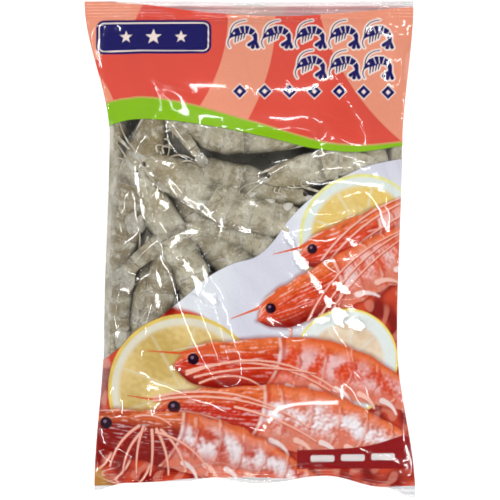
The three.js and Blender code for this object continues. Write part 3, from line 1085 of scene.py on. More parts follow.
share = finish.sum("MINIMUM", finish.sum("SUBTRACT", edge_on, FLAT_GLOSS), MOST_GLOSS)
finish.lay_on(film, "MixShader", {0: share, 1: clear.outputs[0], 2: gloss.outputs[0]})
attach(film, "root")
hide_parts("shrimp_bag")

# ---- The print ----
# Inks printed on the inside of the film before the tube is made: a red and peach header with a green
# stripe, and below the clear window a picture of cooked prawns with lemon on a pale plate. The
# colours are laid one over the other as plain fields, strokes and shapes, each at its place in mm.
INK_EDGE = 0.45
RED = srgb(226, 84, 68)
PEACH = srgb(238, 156, 128)
GREEN = srgb(142, 196, 28)
NAVY = srgb(14, 14, 98)
PALE = srgb(246, 230, 222)


def along_line(line, x, y):
    """Share along a line at the nearest place on it, distance from it, and side of it (1 is left)."""
    line = np.asarray(line, float)
    best, share, side = np.full(x.shape, 1e9), np.zeros(x.shape), np.ones(x.shape)
    lengths = np.hypot(*np.diff(line, axis=0).T)
    starts = np.concatenate([[0], np.cumsum(lengths)])
    for (from_x, from_y), (to_x, to_y), length, start in zip(line, line[1:], lengths, starts):
        dx, dy = (to_x - from_x) / length, (to_y - from_y) / length
        t = np.clip((x - from_x) * dx + (y - from_y) * dy, 0, length)
        away = np.hypot(x - from_x - t * dx, y - from_y - t * dy)
        nearer = away < best
        best = np.where(nearer, away, best)
        share = np.where(nearer, (start + t) / starts[-1], share)
        side = np.where(nearer, np.where(dx * (y - from_y) - dy * (x - from_x) < 0, -1, 1), side)
    return share, best, side


def bowed(start, end, bow, steps=8):
    """A line from start to end that bows out to its left by a share of its length."""
    t = np.linspace(0, 1, steps + 1)[:, None]
    start, end = np.array(start, float), np.array(end, float)
    left = np.array([start[1] - end[1], end[0] - start[0]])
    return start + (end - start) * t + left * bow * 4 * t * (1 - t)


def mottle(x, y, grain, seed):
    """Soft uneven patches, from -1 to 1."""
    draw = np.random.default_rng(seed)
    value = np.zeros(x.shape)
    for _ in range(5):
        turn, phase, size = draw.uniform(0, 2 * np.pi), draw.uniform(0, 2 * np.pi), draw.uniform(0.6, 1.6)
        across = (x * math.sin(turn) - y * math.cos(turn)) / grain
        along = (x * math.cos(turn) + y * math.sin(turn)) / (grain * size)
        value += np.sin(along * 2 + phase + 1.4 * np.sin(across * 1.3 + 2 * phase))
    return np.clip(value / 2.6, -1, 1)


def wavy(x, knots_x, knots_y):
    """A smooth line across the bag through a few heights."""
    knots_x, knots_y = np.array(knots_x, float), np.array(knots_y, float)
    slopes = np.gradient(knots_y, knots_x)
    i = np.clip(np.searchsorted(knots_x, x) - 1, 0, len(knots_x) - 2)
    span = knots_x[i + 1] - knots_x[i]
    t = np.clip((x - knots_x[i]) / span, 0, 1)
    rise = knots_y[i + 1] - knots_y[i]
    bend = t * (1 - t) * ((slopes[i] * span - rise) * (1 - t) - (slopes[i + 1] * span - rise) * t)
    return knots_y[i] + rise * t + bend


class PrintSheet:
    """A stretch of printed film: where its points are, and the colour laid on each so far."""

    def __init__(self, x, y, colour):
        self.x, self.y = x, y
        self.colour = np.tile(colour, (len(x), 1))

    def near(self, line, reach):
        line = np.asarray(line, float)
        low, high = line.min(0) - reach, line.max(0) + reach
        inside = (self.x > low[0]) & (self.x < high[0]) & (self.y > low[1]) & (self.y < high[1])
        return np.nonzero(inside)[0]

    def field(self, inside, colour, edge=INK_EDGE, strength=1.0, where=slice(None)):
        """Lays a colour where the distance inside a shape's edge is positive."""
        share = smooth(inside / edge + 0.5) * strength
        self.colour[where] += (colour - self.colour[where]) * share[:, None]

    def stroke(self, line, wide_start, wide_end, colour, edge=INK_EDGE, strength=1.0):
        where = self.near(line, max(wide_start, wide_end))
        share, away, _ = along_line(line, self.x[where], self.y[where])
        self.field(mix(wide_start, wide_end, share) / 2 - away, colour, edge, strength, where)

    def disc(self, middle, radius, colour, edge=INK_EDGE):
        where = self.near([middle], radius + edge)
        away = np.hypot(self.x[where] - middle[0], self.y[where] - middle[1])
        self.field(radius - away, colour, edge, where=where)


def ring(x, y, middle, inner, outer):
    away = np.hypot(x - middle[0], y - middle[1])
    return np.minimum(outer - away, away - inner)


def rounded_box(x, y, left, right, bottom, top, radius):
    away_x = np.abs(x - (left + right) / 2) - (right - left) / 2 + radius
    away_y = np.abs(y - (bottom + top) / 2) - (top - bottom) / 2 + radius
    outside = np.hypot(np.maximum(away_x, 0), np.maximum(away_y, 0))
    return radius - outside - np.minimum(np.maximum(away_x, away_y), 0)


def star(x, y, middle, size):
    """Distance inside the edge of a five-pointed star."""
    fifth = np.pi / 5
    fold = np.abs((np.arctan2(x - middle[0], y - middle[1]) + fifth) % (2 * fifth) - fifth)
    away = np.hypot(x - middle[0], y - middle[1])
    dent_x, dent_y = 0.42 * size * math.sin(fifth), 0.42 * size * math.cos(fifth)
    edge_x, edge_y = dent_x, dent_y - size
    inside = away * np.sin(fold) * edge_y - (away * np.cos(fold) - size) * edge_x
    return inside / math.hypot(edge_x, edge_y)


STRIPE_UPPER = ((-84, -78, -60, -42, 0, 48, 60, 84), (78, 80, 82.5, 80.5, 69.5, 57, 56.5, 59))
STRIPE_LOWER = ((-84, -78, -68, -47, -20, 9, 35, 56, 84), (65, 67, 70, 70, 66.5, 60.5, 54.5, 52.8, 56.8))
HEADER_TOP = ((-96, -60, -20, 27, 60, 96), (136.4, 134.2, 129.6, 128.2, 130.4, 133.4))
COVER_EDGE = 0.5
SEAL_COVER = 0.45
HEADER_FIELDS = (
    ((-118, 158), 34, 64),
    ((-112, 68), 0, 40),
    ((-104, 128), 92, 118),
    ((152, 152), 64, 116),
)
BADGE = (-84, -21, 106.5, 125.5)
STARS_MIDDLE = (-52.5, 116)
STAR_PITCH = 15
FIGURE_SIZE = 16.5
FIGURE_TURN = 0.18
FIGURE_PITCH = 18.3
FIGURE_ROWS = ((-3.5, 117, 5), (33, 100, 3))
TILES = 7
TILES_FROM = (-5.5, 85.5)
TILE_PITCH = 13.4


def small_prawn(sheet, middle, size):
    """A leaping prawn as one printed figure, navy with a pale edge."""

    def at(line):
        line = np.array(line, float) * size
        c, s = math.cos(FIGURE_TURN), math.sin(FIGURE_TURN)
        x = middle[0] + line[:, 0] * c - line[:, 1] * s
        y = middle[1] + line[:, 0] * s + line[:, 1] * c
        return np.stack([x, y], 1)

    strokes = [
        ([(-0.46, 0.0), (-0.36, 0.07), (-0.2, 0.14)], 0.07, 0.27),
        ([(-0.2, 0.14), (0.0, 0.19), (0.16, 0.16)], 0.27, 0.27),
        ([(0.16, 0.16), (0.3, 0.06), (0.37, -0.08), (0.36, -0.24)], 0.26, 0.12),
        (bowed((-0.44, 0.03), (0.16, 0.5), 0.24), 0.04, 0.03),
        (bowed((-0.44, 0.01), (-0.52, -0.34), -0.2), 0.04, 0.03),
    ]
    for tip in ((0.12, -0.36), (0.22, -0.46), (0.38, -0.48)):
        strokes.append(([(0.36, -0.22), tip], 0.07, 0.13))
    for k in range(4):
        root, tip = (-0.26 + 0.11 * k, 0.02 + 0.02 * k), (-0.32 + 0.1 * k, -0.2 + 0.03 * k)
        strokes.append(([root, tip], 0.055, 0.035))
    for colour, more in ((PALE, 0.1), (NAVY, 0.0)):
        for line, start, end in strokes:
            sheet.stroke(at(line), (start + more) * size, (end + more) * size, colour)
    ring_gaps = [
        [(-0.06, 0.1), (-0.1, 0.3)],
        [(0.06, 0.08), (0.08, 0.31)],
        [(0.16, 0.04), (0.26, 0.24)],
        [(0.24, -0.06), (0.42, 0.06)],
    ]
    for gap in ring_gaps:
        sheet.stroke(at(gap), 0.028 * size, 0.028 * size, PALE, 0.3)
    sheet.disc(at([(-0.3, 0.12)])[0], 0.035 * size, PALE, 0.3)


def milky_seal_and_rib_shade(x, y):
    """The bare seal: film that the welding has turned milky, with grey bands of painted shade for its crimp
    ribs.
    """
    # painted shade: grey bands across the seal stand for the shade of its crimp ribs
    painted_rib_shade = smooth(0.5 + 0.5 * np.sin(y * 2.3 + 0.6 * mottle(x, y, 14, 2)) + 0.3 * mottle(x, y, 7, 12))
    return mix(srgb(236, 236, 238), srgb(196, 200, 206), painted_rib_shade[:, None])


def print_header(x, y):
    """The header: its colours, and how much of each place is covered."""
    sheet = PrintSheet(x, y, RED)
    for middle, inner, outer in HEADER_FIELDS:
        sheet.field(ring(x, y, middle, inner, outer), PEACH, 0.5)
    sheet.colour *= (1 + 0.03 * mottle(x, y, 22, 5))[:, None]
    badge = rounded_box(x, y, *BADGE, 4.5)
    sheet.field(badge, NAVY)
    sheet.field(np.minimum(badge - 1.3, 2.0 - badge), PALE, 0.25)
    for k in (-1, 0, 1):
        middle = (STARS_MIDDLE[0] + k * STAR_PITCH, STARS_MIDDLE[1])
        where = sheet.near([middle], 7)
        sheet.field(star(x[where], y[where], middle, 4.6 - abs(k)), PALE, 0.3, 1, where)
    for first_x, row_y, figures in FIGURE_ROWS:
        for k in range(figures):
            small_prawn(sheet, (first_x + k * FIGURE_PITCH, row_y), FIGURE_SIZE)
    for k in range(TILES):
        middle = (TILES_FROM[0] + k * TILE_PITCH, TILES_FROM[1])
        where = sheet.near([middle], 5)
        tile = 3.0 - (np.abs(x[where] - middle[0]) + np.abs(y[where] - middle[1])) * 0.8
        sheet.field(tile + 0.6, PALE, 0.4, 1, where)
        sheet.field(np.minimum(tile, 1.9 - tile), NAVY, 0.35, 1, where)
    upper, lower = wavy(x, *STRIPE_UPPER), wavy(x, *STRIPE_LOWER)
    sheet.field(upper - y, GREEN)
    sheet.field(0.45 - np.abs(upper - y), mix(GREEN, PEACH, 0.6), 0.3)
    in_seal = smooth((y - wavy(x, *HEADER_TOP)) / COVER_EDGE + 0.5)
    colour = mix(sheet.colour, milky_seal_and_rib_shade(x, y), in_seal[:, None])
    return colour, smooth((y - lower) / COVER_EDGE + 0.5) * mix(1, SEAL_COVER, in_seal)


def lemon(sheet, middle, radius, flesh, rind, pith, seed, rind_share, pith_share):
    """A lemon slice: yellow rind, white pith, and wedges of flesh between pale membranes."""
    where = sheet.near([middle], radius + 1)
    x, y = sheet.x[where], sheet.y[where]
    away = np.hypot(x - middle[0], y - middle[1])
    angle = np.arctan2(y - middle[1], x - middle[0])
    inside = radius - away
    sheet.field(inside, rind * (1 + 0.06 * mottle(x, y, 3, seed + 5))[:, None], 0.5, 1, where)
    sheet.field(inside - radius * rind_share, pith, 1.2, 1, where)
    wedges = 9
    membrane = np.abs((angle * wedges / (2 * np.pi) + 0.5) % 1 - 0.5) * 2 * np.pi / wedges * away
    wedge = np.minimum(inside - radius * pith_share, membrane * 0.9 - 0.4)
    juice = mottle(x, y, 1.6, seed) * 0.35 + mottle(x, y, 11, seed + 1) * 0.7
    deep = mix(flesh[0], flesh[1], smooth(0.5 + 0.5 * juice)[:, None])
    sheet.field(wedge + 0.5, deep, 3.2, 0.94, where)


SHELL_DARK = srgb(196, 56, 24)
HEAD_DARK = srgb(150, 24, 14)
BELLY = srgb(227, 149, 128)
SHINE = srgb(246, 240, 244)
FLUSH = srgb(236, 104, 62)
LEG = srgb(248, 196, 178)
EYE = srgb(44, 12, 40)
EYE_GLINT = srgb(150, 120, 150)
ORANGE = srgb(240, 138, 82)
PRAWN_HEAD = 0.38


def tail_colours(x, y, at, up, grain, broken, shell, seed, white):
    """The rings of the tail: orange back, pink below, and a white sheen on the crown of each ring."""
    ring_at = np.clip((at - PRAWN_HEAD) / (1 - PRAWN_HEAD), 0, 1) * 6 + 0.25 * up**2
    local = (ring_at + 0.05 * grain) % 1
    colour = mix(shell, BELLY, smooth((0.1 - up) / 1.1)[:, None])
    colour = mix(colour, ORANGE, (smooth((up - 0.35) / 0.5) * 0.85)[:, None])
    colour = mix(colour, SHELL_DARK, (smooth((up - 0.8) / 0.25) * 0.5)[:, None])
    flush = smooth(0.5 * mottle(x, y, 3.2, seed + 2) + 0.25 * grain + 0.1)
    colour = mix(colour, FLUSH, (flush * 0.5)[:, None])
    sheen = smooth(1.3 - np.abs(up - 0.12) / 0.62) * smooth(local * 4 + 0.45)
    sheen *= smooth((1 - local) * 3 + 0.35)
    patch = mottle(x, y, 6, seed) + 0.5 * grain
    sheen *= smooth(0.55 + 0.55 * patch)
    colour = mix(colour, SHINE, (sheen * white)[:, None])
    dark_step = 0.4 * broken * smooth(1.4 - np.abs(local - 0.04) / 0.06)
    colour = mix(colour, SHELL_DARK, dark_step[:, None])
    pale_rim = 0.35 * broken * smooth(1.3 - np.abs(local - 0.93) / 0.06)
    return mix(colour, PALE, pale_rim[:, None])


def head_colours(at, up, grain, head, length, depth, seed):
    """The head's shell: orange above, deep red below, with fine pale streaks."""
    colour = mix(HEAD_DARK, head, smooth((up + 1.0) / 0.9)[:, None])
    colour = mix(colour, ORANGE, (smooth((up - 0.2) / 0.6) * 0.8)[:, None])
    streak = mottle(up * depth * 1.1, at * length * 0.30, 1.7, seed + 3) + 0.4 * grain
    colour = mix(colour, SHINE, (smooth(streak * 0.9 - 0.1) * 0.5 * smooth(up + 0.9))[:, None])
    return mix(colour, HEAD_DARK, (smooth(-streak * 0.9 - 0.3) * 0.45)[:, None])


def cooked_prawn(
    sheet, nose, faces, bend, length, depth, head, shell, seed, white, strands, belly_legs=6
):
    """A cooked prawn on its side: its line runs from nose to tail, and its back is the upper side."""
    steps = 26
    share = np.linspace(0, 1, steps + 1)
    bent = np.clip((share - PRAWN_HEAD) / (1 - PRAWN_HEAD), 0, 1) * math.radians(bend)
    heading = math.radians(faces + 180) + bent
    line_x = nose[0] + np.concatenate([[0], np.cumsum(np.cos(heading[:-1]))]) * length / steps
    line_y = nose[1] + np.concatenate([[0], np.cumsum(np.sin(heading[:-1]))]) * length / steps
    line = np.stack([line_x, line_y], 1)

    def spot(at, up):
        """A place on the prawn: share along it, and up from its line in shares of half its depth."""
        way = np.interp(at, share, heading)
        beyond = (at - min(max(at, 0), 1)) * length
        here_x = np.interp(at, share, line_x) + beyond * math.cos(way) - up * depth / 2 * math.sin(way)
        here_y = np.interp(at, share, line_y) + beyond * math.sin(way) + up * depth / 2 * math.cos(way)
        return (here_x, here_y)

    # legs under the body
    for k in range(belly_legs):
        root = spot(0.12 + 0.26 * k / belly_legs, -0.7)
        knee = spot(0.05 + 0.3 * k / belly_legs, -1.5 - 0.1 * (k % 3))
        foot = spot(0.2 + 0.34 * k / belly_legs, -1.75 - 0.25 * ((2 * k) % 3))
        leg = np.concatenate([bowed(root, knee, 0.1, 4), bowed(knee, foot, -0.06, 5)[1:]])
        sheet.stroke(leg + [0.4, -0.7], 1.5, 0.6, HEAD_DARK, 0.8, 0.5)
        sheet.stroke(leg, 1.4, 0.6, LEG)
    where = sheet.near(line, depth)
    x, y = sheet.x[where], sheet.y[where]
    at, away, side = along_line(line, x, y)
    half = depth / 2 * (1 - np.exp(-at / 0.06)) * (0.86 + 0.14 * smooth((at - 0.2) / 0.25))
    half *= 1 - 0.6 * smooth((at - 0.55) / 0.5)
    half *= 1 + 0.04 * mottle(x, y, 5, seed + 4)
    up = np.clip(away * side / np.maximum(half, 0.1), -1.2, 1.2)
    inside = half - away
    grain = 0.6 * mottle(x, y, 1.1, seed + 7) + 0.6 * mottle(x, y, 2.6, seed + 9)
    broken = smooth(0.7 + 0.8 * mottle(x, y, 3, seed + 5))
    colour = tail_colours(x, y, at, up, grain, broken, shell, seed, white)
    face = head_colours(at, up, grain, head, length, depth, seed)
    hind = PRAWN_HEAD + 0.02 + 0.035 * up - 0.03 * up**2
    colour = mix(colour, face, smooth((hind - at) / 0.012)[:, None])
    colour = mix(colour, SHELL_DARK, (0.5 * smooth(1.2 - np.abs(at - hind - 0.012) / 0.01))[:, None])
    colour = mix(colour, PALE, (0.6 * broken * smooth(1.2 - np.abs(at - hind) / 0.008))[:, None])
    colour = colour * (1 + 0.07 * grain)[:, None]
    sheet.field(inside + 1.2, HEAD_DARK, 3.0, 0.55, where)
    sheet.field(inside, np.clip(colour, 0, 1), 0.6, 1, where)
    # swimming legs, spike, strands and eye
    for k in range(5):
        root, tip = spot(0.44 + 0.1 * k, -0.72 + 0.06 * k), spot(0.52 + 0.1 * k, -1.18 + 0.12 * k)
        fin = bowed(root, tip, 0.12, 4)
        sheet.stroke(fin + [0.3, -0.5], 3.6, 1.6, SHELL_DARK, 0.8, 0.5)
        sheet.stroke(fin, 3.2, 1.2, mix(SHINE, LEG, 0.35 + 0.5 * (k % 2)), 0.8)
    sheet.stroke([spot(0.17, 0.66), spot(0.02, 0.42), spot(-0.1, 0.5)], 2.6, 0.4, mix(head, ORANGE, 0.4))
    sheet.stroke([spot(0.12, 0.72), spot(0.0, 0.52)], 0.7, 0.4, PALE, 0.4, 0.7)
    for from_at, from_up, to_at, to_up, bow, wide in strands:
        thread = bowed(spot(from_at, from_up), spot(to_at, to_up), bow, 10)
        sheet.stroke(thread + [0.35, -0.6], wide, wide * 0.6, SHELL_DARK, 0.5, 0.7)
        sheet.stroke(thread, wide, wide * 0.5, LEG)
    eye_x, eye_y = spot(0.075, 0.22)
    sheet.disc((eye_x, eye_y), depth * 0.1, EYE, 0.6)
    sheet.disc((eye_x - 0.6, eye_y + 0.8), depth * 0.028, EYE_GLINT, 0.4)


PLATE = srgb(234, 238, 243)
PLATE_SHADE = srgb(224, 225, 236)
PLATE_EDGE = (
    (-80, -47, -33, -23.5, -10, 5, 12, 20.7, 27.3, 60, 84),
    (-60, -35, -23.5, -15.3, -7.6, -2.5, 4, 16, 22.9, 44, 50),
)
UPPER_LEMON = ((61, 6.5), 34.5)
LEFT_LEMON = ((-36, -75.5), 41)
RIGHT_LEMON = ((52, -60), 28.5)
PICTURE_BOTTOM = ((-100, -66, -30, 10, 44, 66, 90), (-129, -128, -125, -124.5, -126.5, -129.5, -129))
INK_CONTRAST = 1.16
LABEL_TOP = ((25, 47, 66, 84), (-108.8, -108.2, -106, -100.5))
LABEL_LEFT = 25.6
LABEL_BOTTOM = -119.5
# the pale feelers of each prawn, from the uppermost down: from a place to a place on the prawn, each as
# a share along it and a share up, then how far the feeler bows and how wide it is
FEELERS = [
    [
        (0.1, -0.3, 0.7, 0.9, 0.1, 1.2),
        (0.12, -0.5, 0.8, 0.6, 0.1, 1.2),
        (0.16, -0.7, 0.85, 0.2, 0.08, 1.2),
        (0.22, -0.8, 0.9, 0.0, 0.06, 1.1),
    ],
    [
        (0.2, -0.8, 0.75, 0.6, 0.1, 1.1),
        (0.25, -0.9, 0.9, 0.3, 0.1, 1.1),
        (0.3, -0.9, 0.95, 0.1, 0.08, 1.0),
    ],
    [
        (0.05, -0.2, 0.62, -0.7, 0.12, 1.4),
        (0.05, -0.3, 0.72, -0.9, 0.16, 1.4),
        (0.1, -0.6, 0.4, -1.3, 0.2, 1.2),
        (0.08, -0.4, 0.55, -0.2, 0.06, 1.2),
    ],
    [
        (0.0, 0.4, 0.5, 0.1, 0.08, 1.5),
        (0.0, 0.5, 0.58, -0.2, 0.12, 1.4),
        (0.3, 0.3, 0.62, -0.6, 0.05, 1.4),
        (0.05, 0.1, 0.4, -0.9, 0.1, 1.3),
    ],
    [
        (0.22, 0.3, 0.12, -1.2, -0.1, 1.7),
        (0.25, 0.25, 0.18, -1.3, -0.1, 1.7),
        (0.28, 0.25, 0.3, -1.3, 0.03, 1.7),
        (0.3, 0.3, 0.38, -1.2, 0.06, 1.7),
        (0.32, 0.3, 0.46, -1.0, 0.08, 1.6),
        (0.2, 0.6, 0.36, 0.5, 0.15, 1.3),
        (0.24, 0.3, 0.24, -1.3, -0.05, 1.5),
        (0.3, 0.2, 0.55, -0.7, 0.1, 1.4),
    ],
]


def print_picture(x, y):
    """The picture below the window: its colours, and how much of each place is covered."""
    sheet = PrintSheet(x, y, PLATE)
    sheet.field(mottle(x, y, 26, 3), PLATE_SHADE, 2.0)
    flesh = (srgb(241, 220, 156), srgb(238, 206, 112))
    lemon(sheet, *UPPER_LEMON, flesh, srgb(240, 238, 168), srgb(230, 238, 234), 11, 0.05, 0.2)
    bed = -62 - 0.55 * (x - 20) * (x < 20) + 1.05 * (x - 20) * (x >= 20) + 4 * mottle(x, y, 9, 4)
    bed = np.minimum(bed, 12) - y
    heap = smooth(0.5 + 0.6 * mottle(x, y, 5, 6))[:, None]
    dark = mix(srgb(216, 88, 56), srgb(150, 26, 16), heap)
    dark = mix(dark, BELLY, (0.7 * smooth(mottle(x, y, 4, 8) * 1.3 - 0.2))[:, None])
    sheet.field(bed, dark, 3.0)
    head, shell = srgb(226, 84, 46), srgb(230, 104, 66)
    cooked_prawn(sheet, (26, -5), 198, 10, 118, 27, head, shell, 21, 0.6, FEELERS[0])
    head, shell = srgb(226, 90, 48), srgb(232, 114, 82)
    cooked_prawn(sheet, (4, -38), 205, 12, 124, 28, head, shell, 31, 0.7, FEELERS[1], 2)
    flesh = (srgb(244, 232, 212), srgb(234, 206, 174))
    lemon(sheet, *RIGHT_LEMON, flesh, srgb(246, 232, 128), srgb(236, 242, 240), 13, 0.04, 0.3)
    flesh = (srgb(234, 209, 146), srgb(210, 182, 106))
    lemon(sheet, *LEFT_LEMON, flesh, srgb(232, 208, 118), srgb(232, 228, 212), 12, 0.05, 0.16)
    head, shell = srgb(216, 70, 36), srgb(226, 88, 50)
    cooked_prawn(sheet, (-41, -62), 180, -34, 140, 31, head, shell, 41, 0.6, FEELERS[2], 5)
    head, shell = srgb(208, 58, 30), srgb(226, 134, 112)
    cooked_prawn(sheet, (-52, -88), 178, -26, 146, 35, head, shell, 51, 1.0, FEELERS[3], 5)
    head, shell = srgb(158, 26, 16), srgb(208, 88, 66)
    cooked_prawn(sheet, (-88, -96), 171, -20, 124, 33, head, shell, 61, 0.9, FEELERS[4], 3)
    label = np.minimum(np.minimum(x - LABEL_LEFT, wavy(x, *LABEL_TOP) - y), y - LABEL_BOTTOM)
    sheet.field(label, srgb(158, 18, 24))
    for k in range(3):
        left, bottom = 33 + k * 16.5, -115.6 + 0.5 * k
        block = rounded_box(x, y, left, left + 13, bottom, bottom + 3.8, 1.2)
        sheet.field(block, srgb(236, 228, 228))
    corner = -79 - x - 0.6 * (y + 122) + 1.5 * mottle(x, y, 6, 14)
    sheet.field(np.minimum(corner, -119 - y), srgb(196, 158, 88), 4.0, 0.8)
    rim = wavy(x, *PLATE_EDGE) - y
    for middle, radius in (UPPER_LEMON, LEFT_LEMON):
        rim = np.maximum(rim, radius - np.hypot(x - middle[0], y - middle[1]))
    in_seal = smooth((wavy(x, *PICTURE_BOTTOM) - y) / COVER_EDGE + 0.5)
    colour = mix(np.clip(sheet.colour, 0, 1) ** INK_CONTRAST, milky_seal_and_rib_shade(x, y), in_seal[:, None])
    return colour, smooth(rim / COVER_EDGE + 0.5) * mix(1, SEAL_COVER, in_seal)


INK_DEPTH = 0.12
INK_LIGHT = 0.88
WRAP_COLUMNS = 8
AROUND = FRONT_COLUMNS + BACK_COLUMNS
side_reach = half_width(row_along)
side_lean = lean(film_points[:, 0, 1])


def printed_place(column, row):
    """Where a place of the film lies on the flat printed sheet: round the sides, x goes on growing."""
    x, y, _ = on_film(np.mod(column, AROUND), row).T
    reach = np.interp(row, np.arange(ROWS + 1), side_reach)
    middle = np.interp(row, np.arange(ROWS + 1), side_lean)
    x = np.where(column > FRONT_COLUMNS, 2 * (middle + reach) - x, x)
    return np.where(column < 0, 2 * (middle - reach) - x, x), y


def under_film(column, row, depth):
    """Points a little inside the film, along the film's own normal."""
    step = 0.5
    column = np.mod(column, AROUND)
    across = on_film(np.mod(column + step, AROUND), row) - on_film(np.mod(column - step, AROUND), row)
    along = on_film(column, np.minimum(row + step, ROWS)) - on_film(column, np.maximum(row - step, 0))
    out = np.cross(across, along)
    out /= np.linalg.norm(out, axis=1)[:, None]
    return on_film(column, row) - out * depth


def row_at(y):
    """The film's row that lies at this height in the middle of the bag."""
    return int(np.clip(np.searchsorted(rows, y + BAG_LENGTH / 2), 0, ROWS))


def printed_piece(name, paint, columns, low, high, finer=(2, 2)):
    """A piece of the film's inside that carries ink, with the colour and the cover of each point."""
    mesh, column, row = film_sheet(name, columns[0], columns[1], row_at(low), row_at(high), finer)
    ink, cover = paint(*printed_place(column, row))
    ink = ink * INK_LIGHT
    set_points(mesh, under_film(column, row, INK_DEPTH))
    note(mesh, "cover", cover)
    shades = np.concatenate([np.clip(ink, 0, 1), np.ones((len(ink), 1))], 1).astype(np.float32)
    mesh.attributes.new("ink", "FLOAT_COLOR", "POINT").data.foreach_set("color", shades.ravel())
    bm = bmesh.new()
    bm.from_mesh(mesh)
    bare = [face for face in bm.faces if all(cover[vertex.index] < 0.01 for vertex in face.verts)]
    bmesh.ops.delete(bm, geom=bare, context="FACES")
    for face in bm.faces:
        face.smooth = True
    bm.to_mesh(mesh)
    bm.free()
    mesh.materials.append(printing_ink)
    piece = placed(name, mesh)
    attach(piece, "root")


finish = Finish("printing_ink")
ink = finish.node("Attribute", attribute_name="ink").outputs["Color"]
cover = finish.noted("cover")
uneven = finish.ramp(finish.noise(900, 3, 0.6), 0.3, 0.7)
ink = finish.blend(finish.sum("MULTIPLY", uneven, 0.06), ink, finish.colour(90, 50, 50))
matt = {"Base Color": ink, "Roughness": 0.6, "Specular IOR Level": 0.0, "Alpha": cover}
printing_ink = finish.surface("BsdfPrincipled", matt)

round_front = (-WRAP_COLUMNS, FRONT_COLUMNS + WRAP_COLUMNS)
printed_piece("print_header", print_header, round_front, 48, 136)
printed_piece("print_lemon", print_picture, round_front, -8, 54)
printed_piece("print_plate", print_picture, round_front, -64, -8)
printed_piece("print_prawns", print_picture, round_front, -136, -64)

# ---- The back of the bag ----
# The header's colours go on round the back, over a white panel with rows of small print that is only
# drawn as lines. Down the middle the tube's two edges lap over each other and are welded together.
BACK_FROM, BACK_TO = 100, 220
PANEL = (118, 202, -72, 34)
PANEL_LINES = 14
SEAM_COLUMNS = (268, 272)
SEAM_OUT = 0.14
SEAM_THICK = 0.08


def print_back_header(x, y):
    """The header on the back: the front's stripe runs on round it, from the right side to the left."""
    sheet = PrintSheet(x, y, RED)
    sheet.field(ring(x, y, (112, 62), 26, 52), PEACH, 0.5)
    sheet.field(ring(x, y, (214, 150), 30, 58), PEACH, 0.5)
    round_back = smooth((x - BACK_FROM) / (BACK_TO - BACK_FROM))
    upper, lower = mix(59, 78, round_back), mix(56.8, 65, round_back)
    sheet.field(upper - y, GREEN)
    return sheet.colour, smooth(np.minimum(y - lower, 133.4 - y) / COVER_EDGE + 0.5)


def print_back_panel(x, y):
    """A white panel with a green bar at its top and rows of small print as grey lines."""
    sheet = PrintSheet(x, y, srgb(240, 240, 238))
    left, right, bottom, top = PANEL
    sheet.field(y - top + 9, GREEN)
    for k in range(PANEL_LINES):
        line_y = top - 16 - 5.4 * k
        end = right - 6 - (26 if k % 5 == 4 else 4 * (k % 3))
        sheet.stroke([(left + 6, line_y), (end, line_y)], 1.4, 1.4, NAVY, 0.5, 0.7)
    for middle in (left + 16, left + 42, left + 68):
        block = rounded_box(x, y, middle - 9, middle + 9, bottom + 5, bottom + 12, 1.5)
        sheet.field(block, mix(GREEN, PALE, 0.5))
    return sheet.colour, smooth(rounded_box(x, y, *PANEL, 4) / COVER_EDGE + 0.5)


round_back = (FRONT_COLUMNS + WRAP_COLUMNS, AROUND - WRAP_COLUMNS)
printed_piece("print_back_header", print_back_header, round_back, 52, 136, (6, 2))
printed_piece("print_back_panel", print_back_panel, round_back, -78, 40, (6, 2))
seam_mesh, column, row = film_sheet("back_seam", *SEAM_COLUMNS, 4, ROWS - 4, (3, 1))
set_points(seam_mesh, under_film(column, row, -SEAM_OUT))
bm = bmesh.new()
bm.from_mesh(seam_mesh)
bmesh.ops.recalc_face_normals(bm, faces=bm.faces)
bmesh.ops.solidify(bm, geom=list(bm.faces), thickness=SEAM_THICK * MM)
bmesh.ops.recalc_face_normals(bm, faces=bm.faces)
bm.to_mesh(seam_mesh)
bm.free()
back_seam = placed("back_seam", seam_mesh)
finish = Finish("welded_film")
milky = finish.ramp(finish.noise(700, 4, 0.6), 0.3, 0.7)
base = finish.blend(milky, finish.colour(232, 233, 234), finish.colour(212, 214, 216))
cover = finish.sum("ADD", 0.28, finish.sum("MULTIPLY", milky, 0.2))
finish.lay_on(back_seam, "BsdfPrincipled", {"Base Color": base, "Roughness": 0.3, "Alpha": cover})
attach(back_seam, "root")

# ---- The floor, light and camera ----
# The bag lies on a plain pale floor in a white room, under a ring of twelve long soft lights. The
# camera looks straight down through a long lens, so that the bag fills the picture from end to end.
FLOOR_SIZE = 4.0
bm = bmesh.new()
bmesh.ops.create_grid(bm, x_segments=2, y_segments=2, size=FLOOR_SIZE / 2)
mesh = bpy.data.meshes.new("floor")
bm.to_mesh(mesh)
bm.free()
floor = placed("floor", mesh)
finish = Finish("pale_floor")
base = finish.blend(finish.noise(3, 2), finish.colour(255, 255, 255), finish.colour(252, 252, 252))
finish.lay_on(
    floor,
    "BsdfPrincipled",
    {
        "Base Color": base,
        "Roughness": 0.8,
        "Specular IOR Level": 0.2,
        "Emission Color": (1, 1, 1, 1),
        "Emission Strength": 0.4,
    },
)
floor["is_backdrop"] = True

# the room is evenly white, but dark in a round overhead, so that the flat film mirrors no white haze
WHITE_ROOM = 0.35
DARK_ROUND = 0.06
ROUND_OUTER = 34
ROUND_INNER = 16
world = bpy.data.worlds.new("studio")
world.use_nodes = True
nodes, links = world.node_tree.nodes, world.node_tree.links
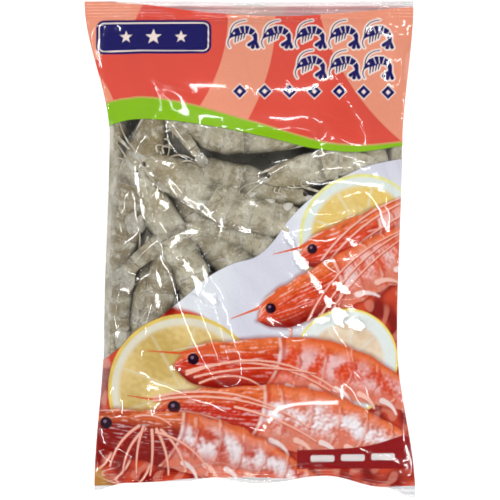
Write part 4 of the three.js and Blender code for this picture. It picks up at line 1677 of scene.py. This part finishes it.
direction = nodes.new("ShaderNodeTexCoord")
parts = nodes.new("ShaderNodeSeparateXYZ")
overhead = nodes.new("ShaderNodeMapRange")
overhead.interpolation_type = "SMOOTHSTEP"
for socket, value in (
    ("From Min", math.cos(math.radians(ROUND_OUTER))),
    ("From Max", math.cos(math.radians(ROUND_INNER))),
    ("To Min", WHITE_ROOM),
    ("To Max", DARK_ROUND),
):
    overhead.inputs[socket].default_value = value
links.new(direction.outputs["Generated"], parts.inputs[0])
links.new(parts.outputs["Z"], overhead.inputs["Value"])
links.new(overhead.outputs["Result"], nodes["Background"].inputs["Strength"])
nodes["Background"].inputs["Color"].default_value = (1, 1, 1, 1)
bpy.context.scene.world = world


def soft_box(name, azimuth, tilt, distance, size, power):
    """A long soft light that shines on the bag from a direction, tilted away from straight above."""
    light = bpy.data.lights.new(name, "AREA")
    light.shape = "RECTANGLE"
    light.size, light.size_y = size
    light.energy = power
    box = bpy.data.objects.new(name, light)
    a, t = math.radians(azimuth), math.radians(tilt)
    box.location = (
        distance * math.sin(t) * math.sin(a),
        -distance * math.sin(t) * math.cos(a),
        distance * math.cos(t),
    )
    box.rotation_euler = (t, 0, a)
    bpy.context.collection.objects.link(box)


BOX_SIZE = (0.3, 0.06)
BOX_POWER = 1.85
for k in range(RING_LIGHTS):
    azimuth = 360 / RING_LIGHTS * (k + 0.5)
    soft_box(f"light_{k + 1}", azimuth, RING_TILT, RING_DISTANCE * MM, BOX_SIZE, BOX_POWER)

LENS = 200
SENSOR = 36
PICTURE_HEIGHT = 272.75
FOCUS_HEIGHT = 12
camera_data = bpy.data.cameras.new("camera")
camera_data.lens = LENS
camera_data.sensor_width = SENSOR
camera = bpy.data.objects.new("camera", camera_data)
camera.location = (0, 0, (FOCUS_HEIGHT + PICTURE_HEIGHT * LENS / SENSOR) * MM)
camera_data.clip_end = 20
bpy.context.collection.objects.link(camera)
bpy.context.scene.camera = camera
bpy.context.scene.view_settings.view_transform = "Standard"

low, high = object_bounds()
